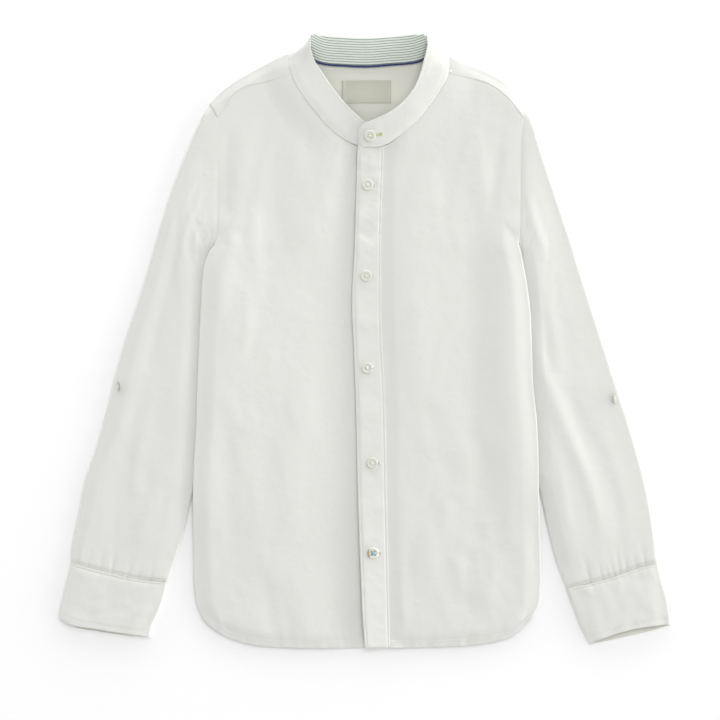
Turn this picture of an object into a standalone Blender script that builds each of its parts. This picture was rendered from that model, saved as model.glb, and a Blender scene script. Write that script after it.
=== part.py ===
"""A shirt with a mandarin collar, buttoned up and laid flat on its back.

Metres, +Z up. The shirt lies on z = 0 with its collar towards +Y and the wearer's left side
towards +X; the origin is the middle of its outline. Places in the tables are in millimetres
in that frame, and a side is "right" or "left" as the wearer has it.

Every piece of cloth is the middle surface of its wall, a grid of points between its edges in
plan, raised to its height above the surface below it. Solidify then gives the wall its
thickness. Pieces that are sewn together stop a seam's gap short of each other.
"""

import math

import bpy
import numpy as np
from mathutils import Matrix

MM = 0.001

# ---------------------------------------------------------------- sizes, in mm
CLOTH = 1.1  # one layer of the shirt's cloth
PLACKET = 1.6  # the placket, cloth folded on itself
CUFF = 2.0  # a cuff, two layers and the stiffening between them
LABEL = 1.0
GAP = 0.3  # between two layers that touch
SEAM = 0.45  # between the edges of two pieces that are sewn together, in plan
NECK_SEAM = 0.85  # the same at the collar, whose band leans away from the body
ARMHOLE_SEAM = 0.9  # and at the armholes

PRESSED = CLOTH + GAP + 0.1  # between the middles of two layers pressed together
BACK_Z = CLOTH / 2  # middle of the back's wall, which lies on the surface
EDGE_GAP = 2.1  # between the middles of front and back at the side seams and shoulders
LOFT = 2.0  # how much further apart they stand away from the edges
SIDE_ROUND = 18.0  # width over which a panel rises from its side seam
SHOULDER_ROUND = 12.0
HEM_ROUND = 26.0

SIDES = {"right": -1, "left": 1}

# Lift of the body's sides, which lie on the sleeves' inner folds.
LIFT = 3.5
LIFT_FLAT = 2.0  # how far past the fold the body stays at full height
LIFT_FALL = 13.0  # and over what width it then comes down
LIFT_TOP = (108.0, 87.0)  # y where the lift starts, and where it is full
LIFT_FOOT = (-184.0, -152.0)

ARMPIT_Y = 97.0
ARMPIT_STOP = 1.4  # how far above the body's corner the sleeve's end stops

# ---------------------------------------------------------------- outlines in plan: x, y
SIDE_SEAM = {
    "right": [(-159.5, -280.5), (-167, -266.5), (-170, -248.5), (-171, -198.5), (-170.5, -123.5),
              (-168, -83.5), (-167, -43.5), (-165.5, -6.5), (-163.5, 35.5), (-161.5, 65.5),
              (-159.5, 77.5), (-155.5, 88.5), (-149.2, 97.5)],
    "left": [(168.5, -276.5), (174.5, -262.5), (176, -246.5), (175.5, -198.5), (174.5, -158.5),
             (172, -78.5), (168.5, -43.5), (167, -3.5), (165, 35.5), (162.7, 53.5),
             (160.6, 66.5), (158.6, 76.5), (156.8, 87.5), (154, 97.5)],
}
ARMHOLE = {
    "right": [(-149.2, 97.5), (-147.6, 110), (-147, 151.5), (-146.5, 191.5), (-147, 216.5),
              (-149.5, 227.5), (-155.5, 237.5)],
    "left": [(154, 97.5), (154.5, 110), (155, 151.5), (155.5, 191.5), (156.5, 214.5),
             (158.5, 225.5), (162.5, 234.5)],
}
SHOULDER = {
    "right": [(-155.5, 237.5), (-148.5, 245.5), (-134.5, 257.5), (-114.5, 269.5), (-92.5, 281.5),
              (-76, 289.5)],
    "left": [(162.5, 234.5), (150.5, 246), (142.5, 257), (122.5, 269.5), (93.5, 281.5),
             (83.5, 287)],
}
FRONT_YOKE_SEAM = {
    "right": [(-148.4, 224.5), (-124.5, 252.5), (-98.5, 259.5), (-73.5, 266.5)],
    "left": [(158.2, 224.5), (143.5, 243.5), (125.5, 257), (103.5, 263.5), (83.5, 268)],
}
BACK_YOKE_Y = 200.5
HEM = [(-159.5, -280.5), (-144.5, -291.5), (-129.5, -298.5), (-108.5, -303.5), (-74.5, -306),
       (0.5, -306.5), (60.5, -305.5), (100.5, -304), (125.5, -301), (147.5, -294.5),
       (168.5, -276.5)]
PLACKET_FREE = [(0.5, -306), (-1.5, -282.5), (-3.5, -238.5), (-6.5, -158.5), (-8.5, -66.5),
                (-10.5, -12.5), (-12.5, 47.5), (-10.5, 83.5), (-8.5, 141.5), (-7, 194)]
PLACKET_STITCHED = [(25.5, -306), (24.5, -258.5), (22.5, -158.5), (20.5, -58.5), (17.5, 5.5),
                    (16.5, 71.5), (17.5, 141.5), (19.5, 194)]
UNDERLAP = 5.0  # how far the left front runs in under the placket
STAND = 9.0  # how far short of the placket's stitched edge the right front stops

SLEEVE_OUTER = {
    "right": [(-155.5, 237.5), (-158.5, 233.5), (-170.5, 209.5), (-185.5, 173.5), (-198.5, 137.5),
              (-219.5, 65.5), (-243.5, -8.5), (-268.5, -102.5), (-280.5, -138.5), (-287.5, -174.5),
              (-292.5, -198.5), (-294.5, -221.5)],
    "left": [(162.5, 234.5), (167.5, 221.5), (178.5, 185.5), (202.5, 113.5), (225.5, 41.5),
             (248.5, -30.5), (274.5, -114.5), (283.5, -150.5), (289.5, -186.5), (294, -222.5)],
}
SLEEVE_INNER = {
    "right": [(-151.4, 98.2), (-157.4, 89), (-158.2, 82), (-156, 72), (-153, 58), (-148.5, 35),
              (-144.5, 8), (-142.8, -18), (-144, -45), (-149, -73), (-157.5, -105.5),
              (-171.2, -148.5), (-180.5, -188.5), (-191.5, -224.5), (-197, -241.5)],
    "left": [(155.8, 98.2), (159, 89.5), (158.6, 82), (155.4, 72), (152.2, 58), (148.5, 35),
             (146, 8), (145, -18), (146.5, -45), (151.5, -73), (159.5, -105.5),
             (175.2, -148.5), (182.5, -183.5), (192.5, -222.5), (202, -247.5)],
}
CUFF_SEAM = {
    "right": [(-294.5, -221.5), (-264.5, -229.5), (-229.5, -237.5), (-197, -241.5)],
    "left": [(294, -222.5), (278.5, -225.5), (255.5, -233.5), (235.5, -239.5), (202, -247.5)],
}
CUFF_OUTER = {
    "right": [(-294.5, -221.5), (-297.5, -234.5), (-303.5, -258.5), (-306.5, -275.5)],
    "left": [(294, -222.5), (296.5, -234.5), (303.5, -258.5), (306.5, -283.5)],
}
CUFF_INNER = {
    "right": [(-197, -241.5), (-205.5, -270.5), (-211.5, -282.5), (-214.5, -295.5)],
    "left": [(202, -247.5), (206.5, -258.5), (215.5, -282.5), (225.5, -302.5)],
}
CUFF_EDGE = {
    "right": [(-306.5, -275.5), (-297.5, -282.5), (-264.5, -290.5), (-234.5, -294.5),
              (-214.5, -295.5)],
    "left": [(306.5, -283.5), (290.5, -288.5), (260.5, -295.5), (235.5, -301), (225.5, -302.5)],
}
CUFF_ARCH = {"right": 2.5, "left": 5.0}  # how far the upper layer's edge arches back

# The collar band stands in a ring round the neck, pressed flat. A row is one place along it,
# from the end with the buttonhole round the back to the end with the button:
# the seam's x, y, z, then the upper edge's x, y, z.
COLLAR = [
    (-7, 195.1, 5.7, -7, 211, 8.1), (4, 194.9, 5.7, -1.5, 217, 9.0),
    (15.5, 195.8, 5.7, 8, 221, 9.6), (41.5, 211.5, 5.3, 28.5, 231.5, 11.0),
    (66.5, 239.5, 5.0, 47.5, 250.5, 12.3), (82, 265.5, 4.9, 56.5, 270.5, 13.5),
    (84, 276.5, 4.6, 59.5, 282, 14.3), (80.5, 284.5, 3.0, 62, 294.5, 14.0),
    (69, 284.3, 1.5, 60, 303.5, 11.5), (52, 281.2, 1.4, 49, 306, 9.5),
    (25, 278.4, 1.4, 24, 303.3, 9.0), (3.5, 276.8, 1.4, 3.5, 302.5, 9.0),
    (-19, 277.5, 1.4, -18, 303.0, 9.0), (-45, 280.4, 1.4, -42, 305, 9.5),
    (-61, 284.1, 1.5, -51.5, 303, 11.5), (-72, 285, 3.0, -53.5, 294, 14.0),
    (-75, 277, 4.6, -50.5, 282, 14.3), (-71.5, 264, 4.9, -43, 270, 13.5),
    (-52.5, 234.5, 5.0, -27, 247.5, 12.0), (-30, 209.5, 4.2, -13, 231.5, 9.5),
    (-18, 201.5, 3.3, -6, 225, 7.2), (-7, 197, 2.75, -0.5, 220.5, 5.9),
    (3, 195.8, 2.75, 6, 217.5, 5.4), (14.5, 195.8, 2.75, 14.5, 216, 5.2),
]
COLLAR_ROWS = 4
COLLAR_SPAN = 2  # columns in each span of the table
COLLAR_FOLDS = {6: 5, 7: 6, 8: 4, 13: 4, 14: 6, 15: 5}  # and in those that fold over

# Soft folds of the two fronts: x and y of one end, then of the other, half width, height.
FRONT_FOLDS = [
    (-112, 225, -128, 110, 11, 0.9),  # from the right shoulder to the side
    (-128, 110, -142, 20, 9, 0.8),
    (-84, 190, -92, 60, 16, -0.6),
    (-60, -20, -78, -190, 22, 0.7),
    (-140, -60, -132, -200, 12, -0.7),
    (-38, 150, -30, 20, 14, 0.6),
    (84, 150, 90, -50, 12, 0.9),  # beside the placket on the left front
    (124, 150, 118, -70, 14, -1.0),
    (58, 60, 62, -120, 12, -0.5),
    (88, -110, 96, -150, 11, -0.9),
    (108, -165, 116, -205, 10, -0.8),
    (64, -170, 74, -260, 12, 0.7),
    (146, -90, 150, -220, 10, 0.7),
]
# Soft folds of the sleeves: how far down each end is, 0 at the armhole and 1 at the cuff, and
# how far across, 0 at the outer fold and 1 at the inner one; then half width in mm, height.
SLEEVE_FOLDS = {
    "right": [(0.05, 0.45, 0.40, 0.42, 11, 0.9), (0.35, 0.60, 0.70, 0.52, 12, 0.8),
              (0.30, 0.30, 0.62, 0.26, 9, -0.8), (0.74, 0.72, 0.96, 0.62, 9, 0.8),
              (0.72, 0.30, 0.95, 0.34, 10, -0.7), (0.02, 0.80, 0.16, 0.70, 8, -0.7)],
    "left": [(0.04, 0.50, 0.34, 0.46, 11, 0.9), (0.46, 0.70, 0.92, 0.50, 8, 1.0),
             (0.38, 0.34, 0.66, 0.40, 10, -0.8), (0.70, 0.74, 0.97, 0.80, 8, 0.8),
             (0.74, 0.30, 0.97, 0.36, 8, -0.9), (0.02, 0.82, 0.16, 0.72, 8, -0.7)],
}
# Where the sleeve is drawn in at the cuff, as fractions of the seam from the outer fold.
GATHERS = {
    "right": (0.07, 0.18, 0.31, 0.43, 0.59, 0.69, 0.82),
    "left": (0.14, 0.23, 0.34, 0.42, 0.48, 0.54, 0.61, 0.74),
}
GATHER_CREST = 0.7
GATHER_DEPTH = 0.8
GATHER_WIDTH = 2.6  # half width of one
GATHER_LENGTH = 26.0

SLEEVE_LOFT = 2.2
SLEEVE_ROUND = 20.0
SLEEVE_OUTER_GAP = 2.6  # between the middles of its two layers at the outer fold
SLEEVE_INNER_GAP = 1.95
SLEEVE_COVERED = 10.0  # how far out from the body's edge the sleeve stays pressed down
SLEEVE_WIDE = 100.0
SLEEVE_LONG = 490.0
SLEEVE_CAP = (0.30, 0.27, 0.05)  # share of the rows above the armpit; of the two folds' lengths
ARMHOLE_BLEND = 0.25  # share of the rows over which the sleeve takes up its own height
CUFF_GAP = 2.7  # between the middles of a cuff's two sides at its folds
CUFF_LOFT = 1.0  # and how much further apart they stand in between

# Buttons: the middle of each, in mm. The placket's are set out down its middle.
BUTTON_WIDE = 11.5
TAB_BUTTON_WIDE = 10.0
PLACKET_BUTTON_Y = (156.5, 65.5, -26.5, -121.5, -211.5)
PLACKET_BUTTON_X = (3.0, 1.5, 2.5, 7.5, 8.5)
COLLAR_BUTTON = (5.5, 205.0)
TAB_BUTTON = {"right": (-245.0, -45.0), "left": (249.5, -56.5)}
TAB_BUTTON_TILT = 42.0  # degrees, outwards over the sleeve's fold

# ---------------------------------------------------------------- curves and grids
FINE = 16  # points worked out in each span of a smooth curve
FOLD_INSET = 0.0055  # share of a tube's width from its outline to the middle of its wall


def through(rows, position):
    """Points on the smooth curve through the rows; a whole position is a row of its own."""
    points = np.array(rows, float)
    knot = np.append(0, np.cumsum(np.linalg.norm(np.diff(points, axis=0), axis=1)))
    slope = np.gradient(points, knot, axis=0)
    span = np.clip(np.floor(position).astype(int), 0, len(points) - 2)
    width = (knot[span + 1] - knot[span])[:, None]
    share = (position - span)[:, None]
    return (points[span] * (1 + 2 * share) * (1 - share) ** 2
            + points[span + 1] * share ** 2 * (3 - 2 * share)
            + width * slope[span] * share * (1 - share) ** 2
            - width * slope[span + 1] * share ** 2 * (1 - share))


def on_line(line, at):
    """Points at these fractions of the length of a line of straight stretches."""
    length = np.append(0, np.cumsum(np.linalg.norm(np.diff(line, axis=0), axis=1)))
    where = np.asarray(at) * length[-1]
    return np.stack([np.interp(where, length, line[:, i]) for i in range(line.shape[1])], axis=1)


def dense(rows):
    """Many points on the smooth curve through the rows."""
    return through(rows, np.linspace(0, len(rows) - 1, FINE * (len(rows) - 1) + 1))


def smooth(rows, at):
    """Points on the smooth curve through the rows, at these fractions of its length."""
    return on_line(dense(rows), at)


def x_at(rows, y):
    """The curve's x at each y, for a curve that runs up or down all the way."""
    line = dense(rows)
    line = line[np.argsort(line[:, 1])]
    return np.interp(y, line[:, 1], line[:, 0])


def y_at(rows, x):
    """The curve's y at each x, for a curve that runs across all the way."""
    line = dense(rows)
    line = line[np.argsort(line[:, 0])]
    return np.interp(x, line[:, 0], line[:, 1])


def ease(share):
    """From 0 to 1, level at both ends."""
    share = np.clip(share, 0, 1)
    return share * share * (3 - 2 * share)


def blend(a, b, share):
    return a + (b - a) * share


def patch(low, high, start, end, across, along):
    """Points [row][column] inside four edges; low and high have one for each column."""
    u = np.asarray(across)[None, :, None]
    v = np.asarray(along)[:, None, None]
    between_ends = blend(start[:, None], end[:, None], u)
    between_rows = blend(low[None], high[None], v)
    corners = blend(blend(start[0], end[0], u), blend(start[-1], end[-1], u), v)
    return between_ends + between_rows - corners


def near_segment(x, y, row):
    """Height at x, y of one soft fold: a ridge round the line between its two ends."""
    x0, y0, x1, y1, half, high = row
    run = np.array([x1 - x0, y1 - y0])
    share = np.clip(((x - x0) * run[0] + (y - y0) * run[1]) / (run @ run), 0, 1)
    away = np.hypot(x - x0 - share * run[0], y - y0 - share * run[1])
    return high * np.exp(-((away / half) ** 2)) * (0.35 + 0.65 * np.sin(math.pi * share))


# ---------------------------------------------------------------- heights, in mm
def lift(x, y):
    """How far the sleeves under the body's sides raise it."""
    total = np.zeros(np.broadcast(x, y).shape)
    down = ease((LIFT_TOP[0] - y) / (LIFT_TOP[0] - LIFT_TOP[1]))
    up = ease((y - LIFT_FOOT[0]) / (LIFT_FOOT[1] - LIFT_FOOT[0]))
    for side, sign in SIDES.items():
        inside = sign * (x_at(SLEEVE_INNER[side], y) - x)
        total = total + LIFT * down * up * (1 - ease((inside - LIFT_FLAT) / LIFT_FALL))
    return total


def back_height(x, y):
    return BACK_Z + lift(x, y)


def placket_share(x, y):
    """1 under the placket, falling to 0 a little way to each side of it."""
    before = x_at(PLACKET_FREE, y) - x
    after = x - x_at(PLACKET_STITCHED, y)
    return 1 - ease(np.maximum((before - 3) / 12, (after - 1) / 15))


def front_apart(x, y):
    """From the back's middle surface up to that of the fronts, and of the yoke's front."""
    above = ease((y - ARMPIT_Y) / 26)
    rim = np.ones(np.broadcast(x, y).shape)
    for side, sign in SIDES.items():
        inside = sign * (x_at(SIDE_SEAM[side], y) - x)
        rim = np.minimum(rim, np.maximum(ease(inside / SIDE_ROUND), above))
    top = [*SHOULDER["right"], *SHOULDER["left"][::-1]]
    rim = np.minimum(rim, ease((np.interp(x, *zip(*top)) - y) / SHOULDER_ROUND))
    rim = np.minimum(rim, ease((y - y_at(HEM, x)) / HEM_ROUND))
    folds = sum(near_segment(x, y, row) for row in FRONT_FOLDS)
    apart = EDGE_GAP + rim * (LOFT + folds)
    return blend(apart, PRESSED, placket_share(x, y))


def front_height(x, y):
    return back_height(x, y) + front_apart(x, y)


# ---------------------------------------------------------------- making the pieces
def material(name, colour, roughness):
    """A plain Principled material; the colour is linear RGB."""
    made = bpy.data.materials.new(name)
    made.use_nodes = True
    made.diffuse_color = (*colour, 1)
    shader = made.node_tree.nodes["Principled BSDF"]
    shader.inputs["Base Color"].default_value = (*colour, 1)
    shader.inputs["Roughness"].default_value = roughness
    shader.inputs["Metallic"].default_value = 0.0
    return made


def add_mesh(name, mesh, look):
    thing = bpy.data.objects.new(name, mesh)
    shirt.objects.link(thing)
    mesh.materials.clear()
    mesh.materials.append(look)
    return thing


def cloth(name, points, thick, look, ring=False, skip=None):
    """A wall of cloth on a grid of middle points [row][column], in mm.

    A ring joins its last column to its first. skip says which faces are left out.
    """
    rows, columns = points.shape[:2]
    number = np.arange(rows * columns).reshape(rows, columns)
    if ring:
        number = np.hstack([number, number[:, :1]])
    faces = np.stack([number[:-1, :-1], number[:-1, 1:], number[1:, 1:], number[1:, :-1]], axis=2)
    if skip is not None:
        faces = faces[~skip]
    faces = faces.reshape(-1, 4)
    used, renumbered = np.unique(faces, return_inverse=True)
    mesh = bpy.data.meshes.new(name)
    mesh.from_pydata((points.reshape(-1, 3)[used] * MM).tolist(), [],
                     renumbered.reshape(-1, 4).tolist())
    mesh.shade_smooth()
    thing = add_mesh(name, mesh, look)
    wall = thing.modifiers.new("wall", "SOLIDIFY")
    wall.thickness = thick * MM
    wall.offset = 0.0
    wall.use_even_offset = True
    wall.use_quality_normals = True
    return thing


def raised(plan, height):
    """Plan points with their heights."""
    return np.dstack([plan, np.broadcast_to(height, plan.shape[:2])])


def flat_loop(columns_top, columns_below, fold_share, fold_steps=3):
    """Once round a flattened tube: place across it, and 1 on top to -1 below.

    The round goes over the top from the first edge to the second, round the fold there and
    back underneath.
    """
    turn = np.linspace(math.pi / 2, -math.pi / 2, fold_steps + 2)[1:-1]
    across = np.concatenate([columns_top, 1 - fold_share * (1 - np.cos(turn)), columns_below,
                             fold_share * (1 - np.cos(turn))])
    across = FOLD_INSET + across * (1 - 2 * FOLD_INSET)
    level = np.concatenate([np.ones(len(columns_top)), np.sin(turn), -np.ones(len(columns_below)),
                            -np.sin(turn)])
    return across, level


# ---------------------------------------------------------------- the body's panels
# Rows of the fronts and the back, as heights up the side seam and the armhole.
BODY_LEVELS = np.array([-280.5, -274, -266, -252, -225, -190, -172, -152, -120, -80, -40, 0, 32,
                        52, 66, 78, 87.5, 97.5, 107, 118, 138, 165, 195, 212, 224.5])
STRIP = (0.0, 0.5, 1.0)  # columns over the part of the side that lies on a sleeve
FALL = (6.5, 13.5)  # and past it, in mm
STRIP_ABOVE = 14.0  # width of the strip beside the armhole


def armhole_points(side):
    """The armhole's corners, from the armpit to the shoulder: all pieces there share them."""
    top = ARMHOLE[side][-1][1]
    levels = BODY_LEVELS[BODY_LEVELS > ARMPIT_Y]
    levels = np.append(levels, [(levels[-1] + top) / 2, top])
    return np.stack([x_at(ARMHOLE[side], levels), levels], axis=1)


def side_line(side, y):
    """x of the body's edge: the side seam, and the armhole above it."""
    line = np.vstack([dense(SIDE_SEAM[side])[:-1], armhole_points(side)])
    return np.interp(y, line[:, 1], line[:, 0])


def panel_columns(side, y, inner_edge, shares):
    """x of each column at its y: the strip over the sleeve, then on to the inner edge."""
    sign = SIDES[side]
    edge = side_line(side, y)
    over = np.maximum(sign * (edge - x_at(SLEEVE_INNER[side], y)), 2) + LIFT_FLAT
    over = blend(over, STRIP_ABOVE, ease((y - ARMPIT_Y) / 30))
    columns = [edge - sign * over * share for share in STRIP]
    columns += [edge - sign * (over + fall) for fall in FALL]
    return columns + [blend(columns[-1], inner_edge(y), share) for share in shares]


def panel(side, levels, top_line, inner_edge, shares, past_edge):
    """Plan points of one side of the body, from its side seam in.

    past_edge lists x, at each y, of the columns past the inner edge.
    """
    count = len(STRIP) + len(FALL) + len(shares) + len(past_edge)
    share_up = (levels - levels[0]) / (levels[-1] - levels[0])
    y = np.repeat(levels[:, None], count, axis=1)
    for _ in range(6):
        columns = panel_columns(side, y, inner_edge, shares)
        columns += [past(y) for past in past_edge]
        x = np.stack([column[:, k] for k, column in enumerate(columns)], axis=1)
        foot, top = y_at(HEM, x[0]), np.interp(x[-1], top_line[:, 0], top_line[:, 1])
        y = blend(foot, top, share_up[:, None])
    return np.dstack([x, y])


def neck_line(start, end, side_of_seam):
    """The neck seam in plan between its points nearest to start and end, a seam's gap off it.

    The body lies outside the seam in front, 1, and inside it at the back, -1.
    """
    seam = dense([row[:3] for row in COLLAR])[:, :2]
    run = np.gradient(seam, axis=0)
    outward = np.stack([run[:, 1], -run[:, 0]], axis=1) / np.linalg.norm(run, axis=1)[:, None]
    line = seam + outward * NECK_SEAM * side_of_seam
    first, last = (int(np.argmin(np.hypot(*(line - place).T))) for place in (start, end))
    return line[first:last + 1] if first < last else line[last:first + 1][::-1]


# ---------------------------------------------------------------- start
for thing in list(bpy.data.objects):
    bpy.data.objects.remove(thing, do_unlink=True)

shirt = bpy.data.collections.new("mandarin_collar_shirt")
bpy.context.scene.collection.children.link(shirt)
WHITE = material("white_cloth", (0.84, 0.845, 0.81), 0.85)
WHITE_BACK = material("white_cloth_inside", (0.66, 0.65, 0.59), 0.85)
STRIPED = material("striped_lining", (0.55, 0.62, 0.55), 0.85)
BLUE = material("blue_piping", (0.03, 0.055, 0.20), 0.7)
LABEL_CLOTH = material("label_cloth", (0.55, 0.55, 0.48), 0.8)
CREAM = material("cream_button", (0.80, 0.79, 0.68), 0.35)
TAN = material("tan_button", (0.50, 0.46, 0.33), 0.35)

# ---------------------------------------------------------------- fronts and back
FRONT_TOP_Y = 193.9  # the fronts' short straight stretch of neck under the placket
GROOVE = 4.0  # how far outside the placket the fronts are already down at its level
NECK_SHARES = np.array([0.16, 0.32, 0.48, 0.64, 0.8, 1.0])
seam_end = {side: np.array(FRONT_YOKE_SEAM[side][-1]) for side in SIDES}
front_plan = {}


def front_panel(side, neck, inner_edge, past_edge):
    """Plan points of one front, with a column where the yoke's seam meets the neck."""
    top_line = np.vstack([dense(FRONT_YOKE_SEAM[side]), neck])
    top_line = top_line[np.argsort(top_line[:, 0])]
    corner = seam_end[side]
    strip_end = panel_columns(side, corner[1], inner_edge, ())[-1]
    share = (corner[0] - strip_end) / (inner_edge(corner[1]) - strip_end)
    shares = [share / 2, share, *blend(share, 1, NECK_SHARES)]
    return panel(side, BODY_LEVELS, top_line, inner_edge, shares, past_edge)


# The right front, whose edge carries the buttons under the placket.
neck = neck_line((-4, 196), seam_end["right"], 1)
front_plan["right"] = front_panel(
    "right", np.vstack([[(18, FRONT_TOP_Y), (-2, FRONT_TOP_Y)], neck]),
    lambda y: x_at(PLACKET_FREE, y) - GROOVE,
    (lambda y: x_at(PLACKET_FREE, y) + GROOVE, lambda y: x_at(PLACKET_STITCHED, y) - STAND))
# The left front, sewn to the placket that lies over it.
neck = neck_line(seam_end["left"], (20, 198), 1)
front_plan["left"] = front_panel(
    "left", np.vstack([neck, [(21, FRONT_TOP_Y), (10, FRONT_TOP_Y)]]),
    lambda y: x_at(PLACKET_STITCHED, y) + GROOVE,
    (lambda y: x_at(PLACKET_STITCHED, y) - UNDERLAP,))
for side, plan in front_plan.items():
    cloth("front_" + side, raised(plan, front_height(plan[..., 0], plan[..., 1])), CLOTH, WHITE)

# The back, from side seam to side seam, up to the yoke.
back_levels = np.append(BODY_LEVELS[BODY_LEVELS < BACK_YOKE_Y], BACK_YOKE_Y)
across_top = np.array([(-400.0, BACK_YOKE_Y), (400.0, BACK_YOKE_Y)])
right_half, left_half = (
    panel(side, back_levels, across_top, lambda y: np.zeros_like(y), (0.33, 0.67, 1.0), ())
    for side in SIDES)
plan = np.hstack([right_half, left_half[:, -2::-1]])
cloth("back", raised(plan, back_height(plan[..., 0], plan[..., 1])), CLOTH, WHITE_BACK)

# ---------------------------------------------------------------- the yoke
# One piece: the upper back, folded over each shoulder to the front seam. Its columns run from
# the right armhole to the left one, and those of the neck stop at the neck's edge.
SHOULDER_COLUMNS = len(STRIP) + len(FALL) + 2
NECK_COLUMNS = 12
YOKE_FOLD = EDGE_GAP / 2
STRAP_ALONG = np.array([0, 0.15, 0.35, 0.6, 0.8, 1.0])

strap = {}
for side in SIDES:
    low = front_plan[side][-1, :SHOULDER_COLUMNS] + (0, SEAM)
    length = np.append(0, np.cumsum(np.linalg.norm(np.diff(low, axis=0), axis=1)))
    across = length / length[-1]
    high = smooth(SHOULDER[side], across) - (0, CLOTH / 2)
    corners = armhole_points(side)
    hole = on_line(corners[corners[:, 1] >= low[0, 1] - SEAM][::-1], STRAP_ALONG)
    by_neck = neck_line(high[-1], low[-1], 1)
    by_neck = on_line(np.vstack([high[-1:], by_neck[2:-1], low[-1:]]), STRAP_ALONG)
    strap[side] = patch(high, low, hole, by_neck, across, STRAP_ALONG)

neck = neck_line(strap["right"][0, -1], strap["left"][0, -1], -1)
neck = on_line(neck, np.linspace(0, 1, NECK_COLUMNS + 2))[1:-1]
back_top = np.vstack([strap["right"][0], neck, strap["left"][0, ::-1]])
columns = len(back_top)
hole = {side: armhole_points(side) for side in SIDES}
hole = {side: np.vstack([[(x_at(ARMHOLE[side], BACK_YOKE_Y), BACK_YOKE_Y + SEAM)],
                         line[line[:, 1] > BACK_YOKE_Y + 2]]) for side, line in hole.items()}
hole["right"][-1], hole["left"][-1] = back_top[0], back_top[-1]
across = (back_top[:, 0] - back_top[0, 0]) / (back_top[-1, 0] - back_top[0, 0])
back_low = blend(hole["right"][0], hole["left"][0], across[:, None])
back_along = np.linspace(0, 1, len(hole["right"]))
back_plan = patch(back_low, back_top, hole["right"], hole["left"], across, back_along)

# The fold runs back along the armhole at its outer end and straight down elsewhere.
SHOULDER_SLANT = 0.62
from_edge = np.minimum(back_top[:, 0] - back_top[0, 0], back_top[-1, 0] - back_top[:, 0])
slant = SHOULDER_SLANT * np.clip(1 - from_edge / 12, 0, 1)
fold = YOKE_FOLD * np.stack([-slant * np.sign(back_top[:, 0]), -np.ones(columns)], axis=1)
fold[SHOULDER_COLUMNS:-SHOULDER_COLUMNS] = 0
yoke_rows = [raised(back_plan[:-1], BACK_Z)]
for angle in np.linspace(-math.pi / 2, math.pi / 2, 5)[:-1]:
    row = back_plan[-1] + fold * (1 - math.cos(angle))
    yoke_rows.append(raised(row[None], BACK_Z + YOKE_FOLD * (1 + math.sin(angle))))
blank = np.zeros((NECK_COLUMNS, 2))
for k, share in enumerate(STRAP_ALONG):
    row = np.vstack([strap["right"][k], blank, strap["left"][k, ::-1]])
    row += fold * (share == 0)
    yoke_rows.append(raised(row[None], front_height(row[:, 0], row[:, 1])[None]))
skip = np.zeros((sum(len(row) for row in yoke_rows) - 1, columns - 1), bool)
skip[len(back_plan) - 1:, SHOULDER_COLUMNS - 1:columns - SHOULDER_COLUMNS] = True
cloth("yoke", np.vstack(yoke_rows), CLOTH, WHITE_BACK, skip=skip)

# ---------------------------------------------------------------- sleeves and cuffs
FOLD_SHARE = 0.022  # of a sleeve's width, taken by the round of its fold
SLEEVE_ALONG = np.array([0, 0.06, 0.14, 0.22, 0.30, 0.38, 0.46, 0.54, 0.62, 0.70, 0.77,
                         0.83, 0.88, 0.92, 0.955, 0.98, 1.0])
UNDER_COLUMNS = np.array([1 - FOLD_SHARE, 0.9, 0.75, 0.5, 0.25, 0.1, FOLD_SHARE])
CUFF_ALONG = np.array([0.0, 0.25, 0.6, 0.92, 1.0])
CUFF_COLUMNS = np.linspace(FOLD_SHARE, 1 - FOLD_SHARE, 12)


def gather_columns(side):
    """Columns across a sleeve's top: each gather, and the crests between."""
    places = np.array(GATHERS[side])
    crests = (places[1:] + places[:-1]) / 2
    first, last = places[0] / 2, blend(places[-1], 1, 0.5)
    return np.sort(np.concatenate([places, crests, [FOLD_SHARE, first, last, 1 - FOLD_SHARE]]))


def sleeve_apart(side, across, along, plan):
    """Distance between a sleeve's two middle surfaces, at each place on it."""
    own = np.minimum(across, 1 - across) * SLEEVE_WIDE
    x, y = plan[..., 0], plan[..., 1]
    covered = SIDES[side] * (x - x_at(SIDE_SEAM[side], y)) - SLEEVE_COVERED
    covered = np.where(y > ARMPIT_Y, SLEEVE_ROUND, covered)
    rim = np.minimum(ease(own / SLEEVE_ROUND), ease(covered / SLEEVE_ROUND))
    edge = blend(SLEEVE_OUTER_GAP, SLEEVE_INNER_GAP, ease(across))
    folds = sum(near_segment(along * SLEEVE_LONG, across * SLEEVE_WIDE,
                             (row[0] * SLEEVE_LONG, row[1] * SLEEVE_WIDE,
                              row[2] * SLEEVE_LONG, row[3] * SLEEVE_WIDE, row[4], row[5]))
                for row in SLEEVE_FOLDS[side])
    to_cuff = (1 - along) * SLEEVE_LONG
    loft = blend(0.6, SLEEVE_LOFT, ease(to_cuff / 60))
    drawn = sum(np.exp(-(((across - place) * SLEEVE_WIDE / GATHER_WIDTH) ** 2))
                for place in GATHERS[side])
    bunched = np.exp(-((to_cuff / GATHER_LENGTH) ** 2)) * ease(own / 4)
    return edge + rim * (loft + folds) + bunched * (GATHER_CREST - GATHER_DEPTH * drawn)


def seam_gap(plan):
    """Move a grid's first row half a seam's gap towards its second."""
    run = plan[1] - plan[0]
    plan[0] += run / np.linalg.norm(run, axis=1)[:, None] * SEAM / 2


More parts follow.
